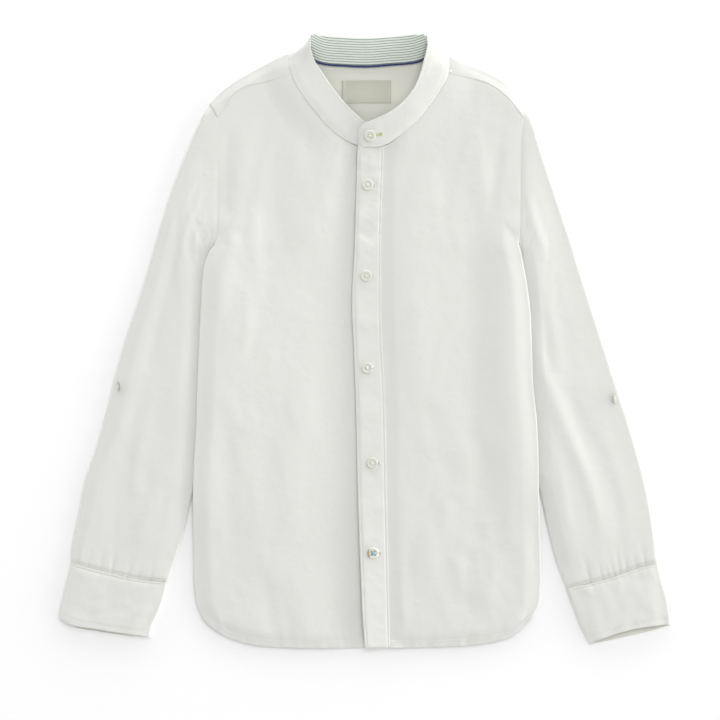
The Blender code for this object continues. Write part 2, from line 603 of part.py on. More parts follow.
for side, sign in SIDES.items():
    across, level = flat_loop(gather_columns(side), UNDER_COLUMNS, FOLD_SHARE)
    cap_share, cap_outer, cap_inner = SLEEVE_CAP
    outer = smooth(SLEEVE_OUTER[side],
                   np.interp(SLEEVE_ALONG, (0, cap_share, 1), (0, cap_outer, 1)))
    inner = smooth(SLEEVE_INNER[side],
                   np.interp(SLEEVE_ALONG, (0, cap_share, 1), (0, cap_inner, 1)))
    hole = armhole_points(side)[::-1] + (sign * ARMHOLE_SEAM, 0)
    hole[-1] = blend(hole[-1], hole[-2], ARMPIT_STOP / (hole[-2, 1] - hole[-1, 1]))
    hole = on_line(hole, across)
    plan = patch(hole, smooth(CUFF_SEAM[side], across), outer, inner, across, SLEEVE_ALONG)
    seam_gap(plan[::-1])
    along, across = np.meshgrid(SLEEVE_ALONG, across, indexing="ij")
    hung = 1 - ease(along / ARMHOLE_BLEND)
    below = BACK_Z + lift(plan[..., 0], plan[..., 1]) * hung
    apart = blend(sleeve_apart(side, across, along, plan),
                  front_apart(plan[..., 0], plan[..., 1]), hung)
    cloth("sleeve_" + side, raised(plan, below + apart * (level[None] + 1) / 2), CLOTH, WHITE,
          ring=True)

    across, level = flat_loop(CUFF_COLUMNS, UNDER_COLUMNS, FOLD_SHARE)
    plan = patch(smooth(CUFF_SEAM[side], across), smooth(CUFF_EDGE[side], across),
                 smooth(CUFF_OUTER[side], CUFF_ALONG), smooth(CUFF_INNER[side], CUFF_ALONG),
                 across, CUFF_ALONG)
    seam_gap(plan)
    arch = CUFF_ARCH[side] * np.sin(math.pi * across) ** 0.7 * np.clip(level, 0, 1)
    plan[..., 1] += arch[None] * (CUFF_ALONG ** 2)[:, None]
    rim = ease(np.minimum(across, 1 - across) * SLEEVE_WIDE / SLEEVE_ROUND)
    apart = CUFF_GAP + CUFF_LOFT * rim * blend(1, 1.25, CUFF_ALONG[:, None])
    cloth("cuff_" + side, raised(plan, CUFF / 2 + apart * (level[None] + 1) / 2), CUFF, WHITE,
          ring=True)

# ---------------------------------------------------------------- the placket
PLACKET_Z = BACK_Z + PRESSED + CLOTH / 2 + GAP + PLACKET / 2
PLACKET_RIPPLES = [  # y of the middle, half width, height
    (182, 7, 0.5), (128, 8, 0.6), (98, 6, 0.5), (20, 9, 0.35), (-70, 9, 0.3), (-165, 8, 0.35),
]
PLACKET_COLUMNS = np.linspace(0, 1, 4)
levels = np.concatenate([np.linspace(-306, -60, 12)[:-1], np.linspace(-60, 194, 26)])
free, stitched = smooth(PLACKET_FREE, np.linspace(0, 1, 40)), x_at(PLACKET_STITCHED, levels)
free = np.interp(levels, free[:, 1], free[:, 0])
x = blend(free[:, None], stitched[:, None], PLACKET_COLUMNS[None])
y = np.repeat(levels[:, None], len(PLACKET_COLUMNS), axis=1)
ripple = sum(high * np.exp(-(((y - place) / half) ** 2)) for place, half, high in PLACKET_RIPPLES)
height = PLACKET_Z + ripple * (1 - 0.5 * PLACKET_COLUMNS[None])
cloth("placket", np.dstack([x, y, height]), PLACKET, WHITE)

# ---------------------------------------------------------------- the collar band
places = [np.arange(COLLAR_FOLDS.get(k, COLLAR_SPAN)) / COLLAR_FOLDS.get(k, COLLAR_SPAN) + k
          for k in range(len(COLLAR) - 1)]
ring = through(COLLAR, np.append(np.concatenate(places), len(COLLAR) - 1))
seam, upper = ring[:, :3], ring[:, 3:]
share = np.linspace(0, 1, COLLAR_ROWS)[:, None, None]
band = blend(seam[None], upper[None], share)
normal = np.cross(np.gradient(band, axis=1), np.gradient(band, axis=0))
normal /= np.linalg.norm(normal, axis=2)[..., None]
apart = (CLOTH + GAP) / 2
cloth("collar_band_outer", band + normal * apart, CLOTH, WHITE)
cloth("collar_band_lining", band - normal * apart, CLOTH, STRIPED)

# Piping along the back of the neck, where the band's lining meets the yoke.
PIPING = 1.6
PIPING_ENDS = (60.0, -54.0)  # x
PIPING_POINTS = 18
line = dense([row[:3] for row in COLLAR])
behind = (line[:, 1] > 270) & (line[:, 2] < 2.0)
line = line[behind & (line[:, 0] < PIPING_ENDS[0]) & (line[:, 0] > PIPING_ENDS[1])]
line = on_line(line, np.linspace(0, 1, PIPING_POINTS))
curve = bpy.data.curves.new("neck_piping", "CURVE")
curve.dimensions = "3D"
curve.bevel_depth = PIPING / 2 * MM
curve.bevel_resolution = 1
curve.use_fill_caps = True
spline = curve.splines.new("POLY")
spline.points.add(len(line) - 1)
for point, place in zip(spline.points, line):
    point.co = (place[0] * MM, (place[1] - NECK_SEAM - PIPING / 2) * MM,
                (CLOTH + GAP + PIPING / 2) * MM, 1)
add_mesh("neck_piping", curve, BLUE)

# ---------------------------------------------------------------- the label
LABEL_SIZE = (49.0, 23.0)
LABEL_MIDDLE = (2.0, 250.0)
x = LABEL_MIDDLE[0] + LABEL_SIZE[0] * (np.array([0, 0.06, 0.3, 0.7, 0.94, 1.0]) - 0.5)
y = LABEL_MIDDLE[1] + LABEL_SIZE[1] * (np.array([0, 0.5, 1.0]) - 0.5)
x, y = np.meshgrid(x, y)
height = np.full(x.shape, CLOTH + GAP + LABEL / 2)
cloth("label", np.dstack([x, y, height]), LABEL, LABEL_CLOTH)

# ---------------------------------------------------------------- buttons
BUTTON_SEGMENTS = 16
BUTTON_HOLE = 0.9
BUTTON_HOLE_APART = 2.4
BUTTON_PROFILE = [  # radius as a share of the button's, height in mm; top to bottom
    (0, 1.3), (0.58, 1.3), (0.74, 1.9), (1.0, 1.5), (0.98, 0.7), (0.74, 0.0), (0, 0)]


def button_mesh(name, wide, holes):
    """A turned button with a raised rim and a hole for each pair of threads."""
    profile = bpy.data.meshes.new(name)
    profile.from_pydata([(radius * wide / 2 * MM, 0, high * MM)
                         for radius, high in BUTTON_PROFILE], [(k, k + 1) for k in
                                                               range(len(BUTTON_PROFILE) - 1)], [])
    turned = bpy.data.objects.new(name, profile)
    shirt.objects.link(turned)
    screw = turned.modifiers.new("turn", "SCREW")
    screw.steps = screw.render_steps = BUTTON_SEGMENTS
    screw.use_merge_vertices = True
    screw.merge_threshold = 0.00001
    cutters = []
    for k in range(holes):
        angle = math.pi / 4 + 2 * math.pi * k / holes
        reach = BUTTON_HOLE_APART / 2 * math.sqrt(2) * MM
        bpy.ops.mesh.primitive_cylinder_add(vertices=6, radius=BUTTON_HOLE / 2 * MM, depth=8 * MM,
                                            location=(reach * math.cos(angle),
                                                      reach * math.sin(angle), 0))
        cutter = bpy.context.object
        cut = turned.modifiers.new("thread hole", "BOOLEAN")
        cut.object = cutter
        cut.operation = "DIFFERENCE"
        cut.solver = "EXACT"
        cutters.append(cutter)
    bpy.context.view_layer.update()
    seen = turned.evaluated_get(bpy.context.evaluated_depsgraph_get())
    made = bpy.data.meshes.new_from_object(seen)
    made.name = name
    made.shade_smooth()
    made.set_sharp_from_angle(angle=math.radians(40))
    for spare in [turned, *cutters]:
        bpy.data.objects.remove(spare, do_unlink=True)
    return made


def place_button(name, mesh, look, x, y, z, tilt_x=0.0, tilt_y=0.0):
    """Seat a button with its foot at this height, turned about X and then about Y."""
    thing = add_mesh(name, mesh.copy(), look)
    thing.matrix_world = (Matrix.Translation((x * MM, y * MM, z * MM))
                          @ Matrix.Rotation(tilt_y, 4, "Y") @ Matrix.Rotation(tilt_x, 4, "X"))
    return thing


button = button_mesh("button", BUTTON_WIDE, 4)
tab_button = button_mesh("tab_button", TAB_BUTTON_WIDE, 4)
for number, (x, y) in enumerate(zip(PLACKET_BUTTON_X, PLACKET_BUTTON_Y), start=1):
    ripple = max(high * math.exp(-(((y - place) / (half + 6)) ** 2))
                 for place, half, high in PLACKET_RIPPLES)
    place_button("button_%d" % number, button, CREAM, x, y,
                 PLACKET_Z + PLACKET / 2 + GAP + ripple)

outer = (band + normal * (apart + CLOTH / 2 + GAP)).reshape(-1, 3)
slopes = normal.reshape(-1, 3)
nearest = int(np.argmin(np.hypot(outer[:, 0] - COLLAR_BUTTON[0], outer[:, 1] - COLLAR_BUTTON[1])
                        + 100 * (outer[:, 2] < 6.5)))
lean = slopes[nearest]
seat = outer[nearest]
seat_z = seat[2] - (lean[0] * (COLLAR_BUTTON[0] - seat[0])
                    + lean[1] * (COLLAR_BUTTON[1] - seat[1])) / lean[2]
place_button("collar_button", button, CREAM, *COLLAR_BUTTON, seat_z,
             tilt_x=-math.atan2(lean[1], lean[2]), tilt_y=math.atan2(lean[0], lean[2]))

for side, sign in SIDES.items():
    x, y = TAB_BUTTON[side]
    tilt = math.radians(TAB_BUTTON_TILT)
    place_button("sleeve_button_" + side, tab_button, TAN, x, y,
                 BACK_Z + SLEEVE_OUTER_GAP + CLOTH / 2 + GAP
                 + TAB_BUTTON_WIDE / 2 * math.sin(tilt), tilt_y=sign * tilt)
for spare in (button, tab_button):
    bpy.data.meshes.remove(spare)
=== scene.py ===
"""A shirt with a mandarin collar, buttoned up and laid flat on its back.

The scene is in metres and the sizes below in millimetres, unless they say otherwise. The shirt
lies on z = 0 with its collar towards +Y, and a side is "right" or "left" as the wearer has it.
"""

import math

import bpy
import numpy as np
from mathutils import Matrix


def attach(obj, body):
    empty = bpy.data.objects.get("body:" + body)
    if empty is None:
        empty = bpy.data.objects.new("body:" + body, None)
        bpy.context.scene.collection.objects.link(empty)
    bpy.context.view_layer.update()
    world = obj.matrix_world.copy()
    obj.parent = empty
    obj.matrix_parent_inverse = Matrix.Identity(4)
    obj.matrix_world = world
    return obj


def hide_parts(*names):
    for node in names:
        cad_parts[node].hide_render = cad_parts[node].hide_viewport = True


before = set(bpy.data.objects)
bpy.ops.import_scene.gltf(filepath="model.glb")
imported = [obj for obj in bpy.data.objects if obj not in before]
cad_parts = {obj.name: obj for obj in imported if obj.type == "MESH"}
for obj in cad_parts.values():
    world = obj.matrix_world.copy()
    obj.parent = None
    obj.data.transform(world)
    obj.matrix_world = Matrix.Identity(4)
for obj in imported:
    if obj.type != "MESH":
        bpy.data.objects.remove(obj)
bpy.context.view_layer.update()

# ---------------------------------------------------------------- the back
# One panel of fine white cotton from the hem to the yoke. It is cut single, its hem is turned
# up twice and stitched, and it lies on the table with the inner folds of the sleeves under its
# sides.
MM = 0.001
CLOTH = 0.7  # thickness of a single wall
BACK_Z = 0.55  # middle of the back's wall
SIDES = {"right": -1, "left": 1}
SIDE_SEAM = {
    "right": [(-159.5, -280.5), (-167, -266.5), (-170, -248.5), (-171, -198.5), (-170.5, -123.5),
              (-168, -83.5), (-167, -43.5), (-165.5, -6.5), (-163.5, 35.5), (-161.5, 65.5),
              (-159.5, 77.5), (-155.5, 88.5), (-149.2, 97.5)],
    "left": [(168.5, -276.5), (174.5, -262.5), (176, -246.5), (175.5, -198.5), (174.5, -158.5),
             (172, -78.5), (168.5, -43.5), (167, -3.5), (165, 35.5), (162.7, 53.5),
             (160.6, 66.5), (158.6, 76.5), (156.8, 87.5), (154, 97.5)],
}
ARMHOLE = {
    "right": [(-149.2, 97.5), (-147.6, 110), (-147, 151.5), (-146.5, 191.5), (-147, 216.5),
              (-149.5, 227.5), (-155.5, 237.5)],
    "left": [(154, 97.5), (154.5, 110), (155, 151.5), (155.5, 191.5), (156.5, 214.5),
             (158.5, 225.5), (162.5, 234.5)],
}
HEM = [(-159.5, -280.5), (-144.5, -291.5), (-129.5, -298.5), (-108.5, -303.5), (-74.5, -306),
       (0.5, -306.5), (60.5, -305.5), (100.5, -304), (125.5, -301), (147.5, -294.5),
       (168.5, -276.5)]
SLEEVE_INNER = {
    "right": [(-151.4, 98.2), (-156.5, 89), (-157.6, 82), (-156, 72), (-153, 58), (-148.5, 35),
              (-144.5, 8), (-142.8, -18), (-144, -45), (-149, -73), (-157.5, -105.5),
              (-171.2, -148.5), (-180.5, -188.5), (-191.5, -224.5), (-197, -241.5)],
    "left": [(155.8, 98.2), (157.7, 89.5), (157.9, 82), (155.4, 72), (152.2, 58), (148.5, 35),
             (146, 8), (145, -18), (146.5, -45), (151.5, -73), (159.5, -105.5),
             (175.2, -148.5), (182.5, -183.5), (192.5, -222.5), (202, -247.5)],
}
BACK_YOKE_Y = 200.5
LIFT = 3.1  # how far the sleeves raise the body's sides that lie on them
# Widths past the sleeve's inner fold: at full height, and of the fall from it.
BACK_LIFT = dict.fromkeys(SIDES, (2.0, 13.0))
FRONT_LIFT = {"right": (0.0, 80.0), "left": (-2.0, 60.0)}
LIFT_TOP, LIFT_FOOT = (142.0, 84.0), (-230.0, -150.0)  # y where it starts, and where it is full
EDGE_GAP = 2.1  # between the middles of front and back at the side seams and shoulders
EDGE_ROLL = 0.65  # how far the side edges of front and back roll towards each other
BACK_FLAT_Y, BACK_FLATTENS = 110.0, 10.0  # where the back's edges stop rolling, over this length
HEM_WIDE = 6.5
HEM_STITCHED = 1.1  # from the hem's upper edge down to its stitching
HEM_RISE, HEM_GROOVE, HEM_PUCKER = 0.42, 0.22, 0.22  # heights and depth of its parts
BACK_HEM = 0.4  # share of the hem's swell that shows inside the shirt
# Columns beside a panel's edge and rows beside its hem, by their distance from it; the stitches
# of the hem follow one of the rows.
NEAR_EDGE = np.array([0, 0.12, 0.4, 0.8, 1.4, 2.4, 4.0])
NEAR_HEM = np.array([0, 0.3, 0.8, 2, 3.5, 5, 5.8, HEM_WIDE, 7.1, 8, 10, 13, 16.0])
HEM_ROW = 6
PANEL_Y = (-290.0, 200.0)  # roughly a panel's foot and top, where its rows are first looked for
SPAN_POINTS = 16  # of a smooth curve, between two of its rows
CRUMPLE_WAVES, CRUMPLE_PUSH = 30, 8.0
MIX_FIRST, MIX_SECOND, MIX_COLOUR = 6, 7, 2  # a Mix node's sockets for colours


def lengths(line):
    """Distance along a line of straight stretches at each of its points."""
    return np.append(0, np.cumsum(np.linalg.norm(np.diff(line, axis=0), axis=1)))


def unit(vectors):
    """Vectors of the same directions, each 1 long."""
    return vectors / np.maximum(np.linalg.norm(vectors, axis=-1, keepdims=True), 1e-9)


def through(rows, position):
    """Points on the smooth curve through the rows; a whole position is a row of its own.

    Between two rows it is the cubic that leaves one and reaches the other at the slopes of
    the rows' own finite differences.
    """
    points = np.array(rows, float)
    knot = lengths(points)
    slope = np.gradient(points, knot, axis=0)
    span = np.clip(np.floor(position).astype(int), 0, len(points) - 2)
    width = (knot[span + 1] - knot[span])[:, None]
    share = (position - span)[:, None]
    return (points[span] * (1 + 2 * share) * (1 - share) ** 2
            + points[span + 1] * share ** 2 * (3 - 2 * share)
            + width * slope[span] * share * (1 - share) ** 2
            - width * slope[span + 1] * share ** 2 * (1 - share))


def dense(rows):
    """Evenly spaced points in each span of the smooth curve through the rows."""
    return through(rows, np.linspace(0, len(rows) - 1, SPAN_POINTS * (len(rows) - 1) + 1))


def on_line(line, at):
    """Points at these fractions of the length of a line of straight stretches."""
    length = lengths(line)
    where = np.asarray(at) * length[-1]
    return np.stack([np.interp(where, length, line[:, i]) for i in range(line.shape[1])], axis=1)


def smooth(rows, at):
    """Points on the smooth curve through the rows, at these fractions of its length."""
    return on_line(dense(rows), at)


def x_at(rows, y):
    """The curve's x at each y, for a curve that runs up or down all the way."""
    line = dense(rows)
    line = line[np.argsort(line[:, 1])]
    return np.interp(y, line[:, 1], line[:, 0])


def y_at(rows, x):
    """The curve's y at each x, for a curve that runs across all the way."""
    line = dense(rows)
    line = line[np.argsort(line[:, 0])]
    return np.interp(x, line[:, 0], line[:, 1])


def ease(share):
    """From 0 to 1, level at both ends: 3 s squared less 2 s cubed."""
    share = np.clip(share, 0, 1)
    return share * share * (3 - 2 * share)


def blend(a, b, share):
    """a at share 0, b at share 1, and straight between them."""
    return a + (b - a) * share


def bell(share):
    """1 at share 0 and next to nothing from 2 on, to both sides: e to minus share squared."""
    return np.exp(-(share ** 2))


def side_line(side, y):
    """x of the body's edge: the side seam, and the armhole above it."""
    line = np.vstack([dense(SIDE_SEAM[side])[:-1], dense(ARMHOLE[side])])
    return np.interp(y, line[:, 1], line[:, 0])


def lift(x, y, widths):
    """How far the sleeves under the body's sides raise it: full over the sleeve's inner fold,
    easing to nothing over the fall past it, and at the armpit and below the sleeve."""
    total = np.zeros(np.broadcast(x, y).shape)
    down = ease((LIFT_TOP[0] - y) / (LIFT_TOP[0] - LIFT_TOP[1]))
    up = ease((y - LIFT_FOOT[0]) / (LIFT_FOOT[1] - LIFT_FOOT[0]))
    for side, sign in SIDES.items():
        inside = sign * (x_at(SLEEVE_INNER[side], y) - x)
        flat, fall = widths[side]
        total = total + LIFT * down * up * (1 - ease((inside - flat) / fall))
    return total


def edge_dip(away, reach, most):
    """How far a surface has rolled over at this distance from its edge: the gap between a
    circle of the radius reach and its top, but no more than most."""
    share = np.clip(1 - np.abs(away) / reach, 0, 1)
    return np.minimum(reach * (1 - np.sqrt(1 - share ** 2)), most)


def crumple(x, y, seed, longest=64.0, shortest=13.0, drawn=0.6):
    """Soft uneven dents about 1 high: a sum of waves of random direction and phase, the longer
    the higher, drawn out along y, over places that a slower wave has pushed aside."""
    random = np.random.default_rng(seed)
    length = np.geomspace(longest, shortest, CRUMPLE_WAVES)
    turn, phase = random.uniform(0, 2 * math.pi, (2, CRUMPLE_WAVES))
    x, y = (x + CRUMPLE_PUSH * np.sin(y / 29 + seed),
            y + CRUMPLE_PUSH * np.sin(x / 24 + 2 * seed))
    along = x[..., None] * np.cos(turn) + y[..., None] * np.sin(turn) * drawn
    waves = np.sin(2 * math.pi * along / length + phase) * (length / longest) ** 0.8
    return waves.sum(axis=-1) * 0.3


def hem_swell(above, x, seed):
    """Height of the turned hem: one cloth more below its edge, a groove on its stitching, and
    puckers, which are short crumples that fade within three widths above it."""
    band = HEM_RISE * (1 - ease(above - HEM_WIDE + 0.3))
    groove = HEM_GROOVE * bell((above - HEM_WIDE + HEM_STITCHED) / 0.9)
    pucker = HEM_PUCKER * crumple(x, above * 0.4, seed, 26.0, 7.0, 1.0)
    return band - groove + pucker * bell(above / (2.2 * HEM_WIDE))


def wired(tree, kind, inputs=None, **settings):
    """A shader node with its settings; each input is another node's socket or a value."""
    made = tree.nodes.new("ShaderNode" + kind)
    for name, value in settings.items():
        setattr(made, name, value)
    for name, value in (inputs or {}).items():
        if isinstance(value, bpy.types.NodeSocket):
            tree.links.new(value, made.inputs[name])
        else:
            made.inputs[name].default_value = value
    return made


def sums(tree, operation, *values):
    """The result of a Math node on these sockets or numbers."""
    return wired(tree, "Math", dict(enumerate(values)), operation=operation).outputs[0]


def ramp(tree, value, low, high):
    """From 0 where the value is low to 1 where it is high, and held beyond both."""
    return wired(tree, "MapRange", {0: value, 1: low, 2: high}).outputs[0]


def mixed(tree, share, first, second):
    """The first colour at share 0 and the second at share 1; each is a socket or a value."""
    both = {"Factor": share, MIX_FIRST: first, MIX_SECOND: second}
    return wired(tree, "Mix", both, data_type="RGBA").outputs[MIX_COLOUR]


def group(name, inputs, outputs):
    """An empty shader group with float or vector sockets, and its two ends."""
    tree = bpy.data.node_groups.new(name, "ShaderNodeTree")
    for way, sockets in (("INPUT", inputs), ("OUTPUT", outputs)):
        for label, value in sockets.items():
            kind = "NodeSocketVector" if value is None else "NodeSocketFloat"
            socket = tree.interface.new_socket(label, in_out=way, socket_type=kind)
            if value is not None:
                socket.default_value = value
    return tree, tree.nodes.new("NodeGroupInput"), tree.nodes.new("NodeGroupOutput")


# Plain weave: each thread's crown is the product of the two directions' sines, and slubs are
# noise drawn out along the threads. Shade is the mean of the slubs, about 0.5.
THREAD_PITCH, FINE_PITCH = 0.00035, 0.00025  # in metres, of the cotton and of sewing thread
weave, start, end = group("plain weave", {"Vector": None, "Thread": THREAD_PITCH},
                          {"Height": 0.0, "Shade": 0.0})
apart = wired(weave, "SeparateXYZ", {0: start.outputs["Vector"]})
turns = [sums(weave, "SINE", sums(weave, "MULTIPLY", sums(
    weave, "DIVIDE", apart.outputs[k], start.outputs["Thread"]), math.pi)) for k in (0, 1)]
crown = sums(weave, "ABSOLUTE", sums(weave, "MULTIPLY", *turns))
slubs = []
for stretch in ((60, 1500, 0), (1500, 60, 0)):
    drawn = wired(weave, "VectorMath", {0: start.outputs["Vector"], 1: stretch},
                  operation="MULTIPLY")
    slubs.append(wired(weave, "TexNoise", {"Vector": drawn.outputs[0], "Scale": 1.0,
                                           "Detail": 2.0}, noise_dimensions="2D").outputs["Fac"])
slub = sums(weave, "MULTIPLY", sums(weave, "ADD", *slubs), 0.5)
weave.links.new(slub, end.inputs["Shade"])
weave.links.new(sums(weave, "MULTIPLY_ADD", slub, 2.0, crown), end.inputs["Height"])

# Handling: the small soft dents that pressed cotton keeps, as three sizes of noise.
handling, start, end = group("handling", {"Vector": None}, {"Height": 0.0})
total = 0.0
for scale, high in ((45, 0.5), (110, 0.3), (260, 0.12)):
    noise = wired(handling, "TexNoise", {"Vector": start.outputs["Vector"], "Scale": scale,
                                         "Detail": 1.0, "Distortion": 0.6})
    total = sums(handling, "MULTIPLY_ADD", noise.outputs["Fac"], high, total)
handling.links.new(total, end.inputs["Height"])


def new_look(name, light, inputs):
    """A material with these inputs of its shader and with this colour in plain views; then
    its node tree and that shader."""
    look = bpy.data.materials.new(name)
    look.use_nodes = True
    look.diffuse_color = (*light, 1)
    shader = look.node_tree.nodes["Principled BSDF"]
    for label, value in inputs.items():
        shader.inputs[label].default_value = value
    return look, look.node_tree, shader


def cloth_look(name, light, dark, thread=THREAD_PITCH, dents=0.45, relief=0.022, sheen=0.08):
    """Woven cloth: colour between its dark and light by the slubs, and a bump of the weave's
    relief on that of the handling's dents, both in millimetres."""
    look, tree, shader = new_look(name, light, {
        "Roughness": 0.85, "Specular IOR Level": 0.25, "Sheen Weight": sheen,
        "Sheen Roughness": 0.5})
    places = wired(tree, "TexCoord")
    threads = wired(tree, "Group", {"Vector": places.outputs["UV"], "Thread": thread},
                    node_tree=weave)
    dented = wired(tree, "Group", {"Vector": places.outputs["Object"]}, node_tree=handling)
    wide = wired(tree, "TexNoise", {"Vector": places.outputs["Object"], "Scale": 14.0,
                                    "Detail": 3.0})
    tone = sums(tree, "MULTIPLY_ADD", wide.outputs["Fac"], 0.5,
                sums(tree, "MULTIPLY", threads.outputs["Shade"], 0.7))
    tree.links.new(mixed(tree, tone, (*dark, 1), (*light, 1)), shader.inputs["Base Color"])
    low = wired(tree, "Bump", {"Height": dented.outputs["Height"], "Distance": dents * MM,
                               "Strength": 1.0})
    high = wired(tree, "Bump", {"Height": threads.outputs["Height"], "Distance": relief * MM,
                                "Strength": 1.0, "Normal": low.outputs["Normal"]})
    tree.links.new(high.outputs["Normal"], shader.inputs["Normal"])
    return look


def normals(points):
    """Unit normals of a grid: its two directions' differences, crossed."""
    return unit(np.cross(np.gradient(points, axis=1), np.gradient(points, axis=0)))


def upwards(points):
    """Unit normals of a grid, each turned to its upper side."""
    made = normals(points)
    return made * np.sign(made[..., 2:])


def nearest_row(places, at):
    """The number of the place that lies nearest to at."""
    return int(np.argmin(np.abs(places - at)))


def linked(name, data):
    """A new object of this data in the scene."""
    thing = bpy.data.objects.new(name, data)
    bpy.context.scene.collection.objects.link(thing)
    return thing


def stand(name, mesh, looks, node=None):
    """A finished object of this mesh: smooth, in these looks, in the shirt's one body, and in
    place of a node where one is named."""
    for look in looks:
        mesh.materials.append(look)
    mesh.shade_smooth()
    thing = linked(name, mesh)
    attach(thing, "root")
    if node:
        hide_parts(node)
    return thing


def put(name, points, faces, uv, looks, node=None):
    """A finished piece from points in mm; uv has a row for each corner of each face."""
    mesh = bpy.data.meshes.new(name)
    mesh.from_pydata((points * MM).tolist(), [], faces.tolist())
    layer = mesh.uv_layers.new(name="cloth")
    layer.data.foreach_set("uv", (uv * MM).astype(np.float32).ravel())
    return stand(name, mesh, looks, node)


def grid_faces(rows, columns, ring=False, skip=None):
    """Corner numbers of a grid's faces, and those of its UV points, which a ring has a
    column more of."""
    place = np.arange(rows * columns).reshape(rows, columns)
    wrap = np.hstack([place, place[:, :1]]) if ring else place
    mapped = np.arange(rows * wrap.shape[1]).reshape(rows, -1)
    both = [np.stack([n[:-1, :-1], n[:-1, 1:], n[1:, 1:], n[1:, :-1]], axis=2)
            for n in (wrap, mapped)]
    if skip is not None:
        both = [faces[~skip] for faces in both]
    return [faces.reshape(-1, 4) for faces in both]


def cloth(name, points, looks, node, thick=CLOTH, ring=False, skip=None, turned=False):
    """A wall of cloth on a grid of middle points [row][column] in mm.

    Solidify grows half its thickness to each side. The outside of the cloth is the side from
    which rows run to the left of columns, or the other one where it is turned. The UV map is
    the distance across and along the grid, so that threads follow the cloth.
    """
    faces, mapped = grid_faces(*points.shape[:2], ring, skip)
    around = np.hstack([points, points[:, :1]]) if ring else points
    across, along = (np.cumsum(np.linalg.norm(np.diff(around, axis=k, prepend=np.take(
        around, [0], axis=k)), axis=2), axis=k) for k in (1, 0))
    uv = np.dstack([across, along]).reshape(-1, 2)[mapped.ravel()]
    if turned:
        faces, uv = faces[:, ::-1], uv.reshape(-1, 4, 2)[:, ::-1]
    used, faces = np.unique(faces, return_inverse=True)
    thing = put(name, points.reshape(-1, 3)[used], faces.reshape(-1, 4), uv, looks, node)
    wall = thing.modifiers.new("wall", "SOLIDIFY")
    wall.thickness = thick * MM
    wall.offset = 0.0
    wall.material_offset = len(looks) - 1
    return thing


def stitches(name, lines, look, proud, long=1.7, pitch=2.5, wide=0.32):
    """Rows of sewing: each line is points and normals, and every pitch along it lies one
    stitch, a spindle of two square rings between two tips that stands proud of the line."""
    template = np.array([(-0.5, 0, -0.3), *[(x, math.cos(a) * 0.5, math.sin(a) * 0.5)
                                            for x in (-0.3, 0.3)
                                            for a in np.arange(4) * math.pi / 2],
                         (0.5, 0, -0.3)]) * (long, wide, wide)
    ring = np.arange(4)
    turned = (ring + 1) % 4
    quads = np.stack([1 + ring, 1 + turned, 5 + turned, 5 + ring], axis=1)
    tips = np.vstack([np.stack([0 * ring, 1 + turned, 1 + ring], axis=1),
                      np.stack([0 * ring + 9, 5 + ring, 5 + turned], axis=1)])
    made = []
    for line, up in lines:
        length = lengths(line)
        count = max(int(length[-1] / pitch), 1)
        at = (np.arange(count) + 0.5) / count * length[-1]
        place, up, ahead = (np.stack([np.interp(at, length, value[:, k]) for k in range(3)],
                                     axis=1)
                            for value in (line, up, np.gradient(line, axis=0)))
        ahead = unit(ahead)
        beside = unit(np.cross(up, ahead))
        up = np.cross(ahead, beside)
        frames = np.stack([ahead, beside, up], axis=1)
        made.append(place[:, None] + np.einsum("tk,nkd->ntd", template, frames)
                    + up[:, None] * proud)
    points = np.concatenate(made)
    first = 10 * np.arange(len(points))[:, None, None]
    four, three = (first + quads[None]).reshape(-1, 4), (first + tips[None]).reshape(-1, 3)
    mesh = bpy.data.meshes.new(name)
    mesh.from_pydata((points.reshape(-1, 3) * MM).tolist(), [], four.tolist() + three.tolist())
    stand(name, mesh, [look])


def panel(columns, up, first, second, foot, top):
    """Plan points between two edges given as x at y, and two given as y at x. A column is a
    shift from the first edge, one from the second and its share of the way between them. The
    rows next to the foot lie at their own distances from it and the rest share what is left.
    """
    near = np.append(NEAR_HEM, np.full(len(up), NEAR_HEM[-1]))[:, None]
    share = np.append(np.zeros(len(NEAR_HEM)), up)[:, None]
    from_first, from_second, across = columns
    start = np.maximum(share, near / (PANEL_Y[1] - PANEL_Y[0]))
    y = np.repeat(blend(*PANEL_Y, start), len(across), axis=1)
    for _ in range(6):
        x = blend(first(y) + from_first, second(y) + from_second, across)
        low, high = foot(x[0]), top(x[-1])
        y = low + near + (high - low - NEAR_HEM[-1]) * share
    return x, y


WHITE = cloth_look("white_cotton", (0.724, 0.729, 0.696), (0.693, 0.698, 0.661))
# The same white cotton for the inner faces, with painted shade: darker and yellower for the shade
# and the light thrown back inside the shirt.
INSIDE_PAINTED_SHADE = cloth_look("white_cotton_inside_painted_shade", (0.71, 0.705, 0.635), (0.675, 0.67, 0.59))
THREAD = cloth_look("white_sewing_thread", (0.77, 0.775, 0.735), (0.675, 0.68, 0.64),
                    thread=FINE_PITCH, dents=0.05, sheen=0.2)

even = np.linspace(0, 1, 96)[1:-1]
shift = np.concatenate([NEAR_EDGE, np.full(len(even), NEAR_EDGE[-1]), NEAR_EDGE * 0])
columns = (shift, -shift[::-1], np.concatenate([NEAR_EDGE * 0, even, NEAR_EDGE * 0 + 1]))
x, y = panel(columns, np.linspace(0, 1, 120)[1:], lambda y: side_line("right", y),
             lambda y: side_line("left", y), lambda x: y_at(HEM, x),
             lambda x: np.full(x.shape, BACK_YOKE_Y))
from_side = np.minimum(x - side_line("right", y), side_line("left", y) - x)
above = y - y_at(HEM, x)
z = BACK_Z + lift(x, y, BACK_LIFT)
z += edge_dip(from_side, EDGE_GAP / 2, EDGE_ROLL) * ease((BACK_FLAT_Y - y) / BACK_FLATTENS)
z += np.maximum(hem_swell(above, x, 5), 0) * BACK_HEM
points = np.dstack([x, y, z])
back = cloth("back_panel", points, [WHITE, INSIDE_PAINTED_SHADE], "back", turned=True)
seams = [(points[HEM_ROW], -normals(points)[HEM_ROW])]

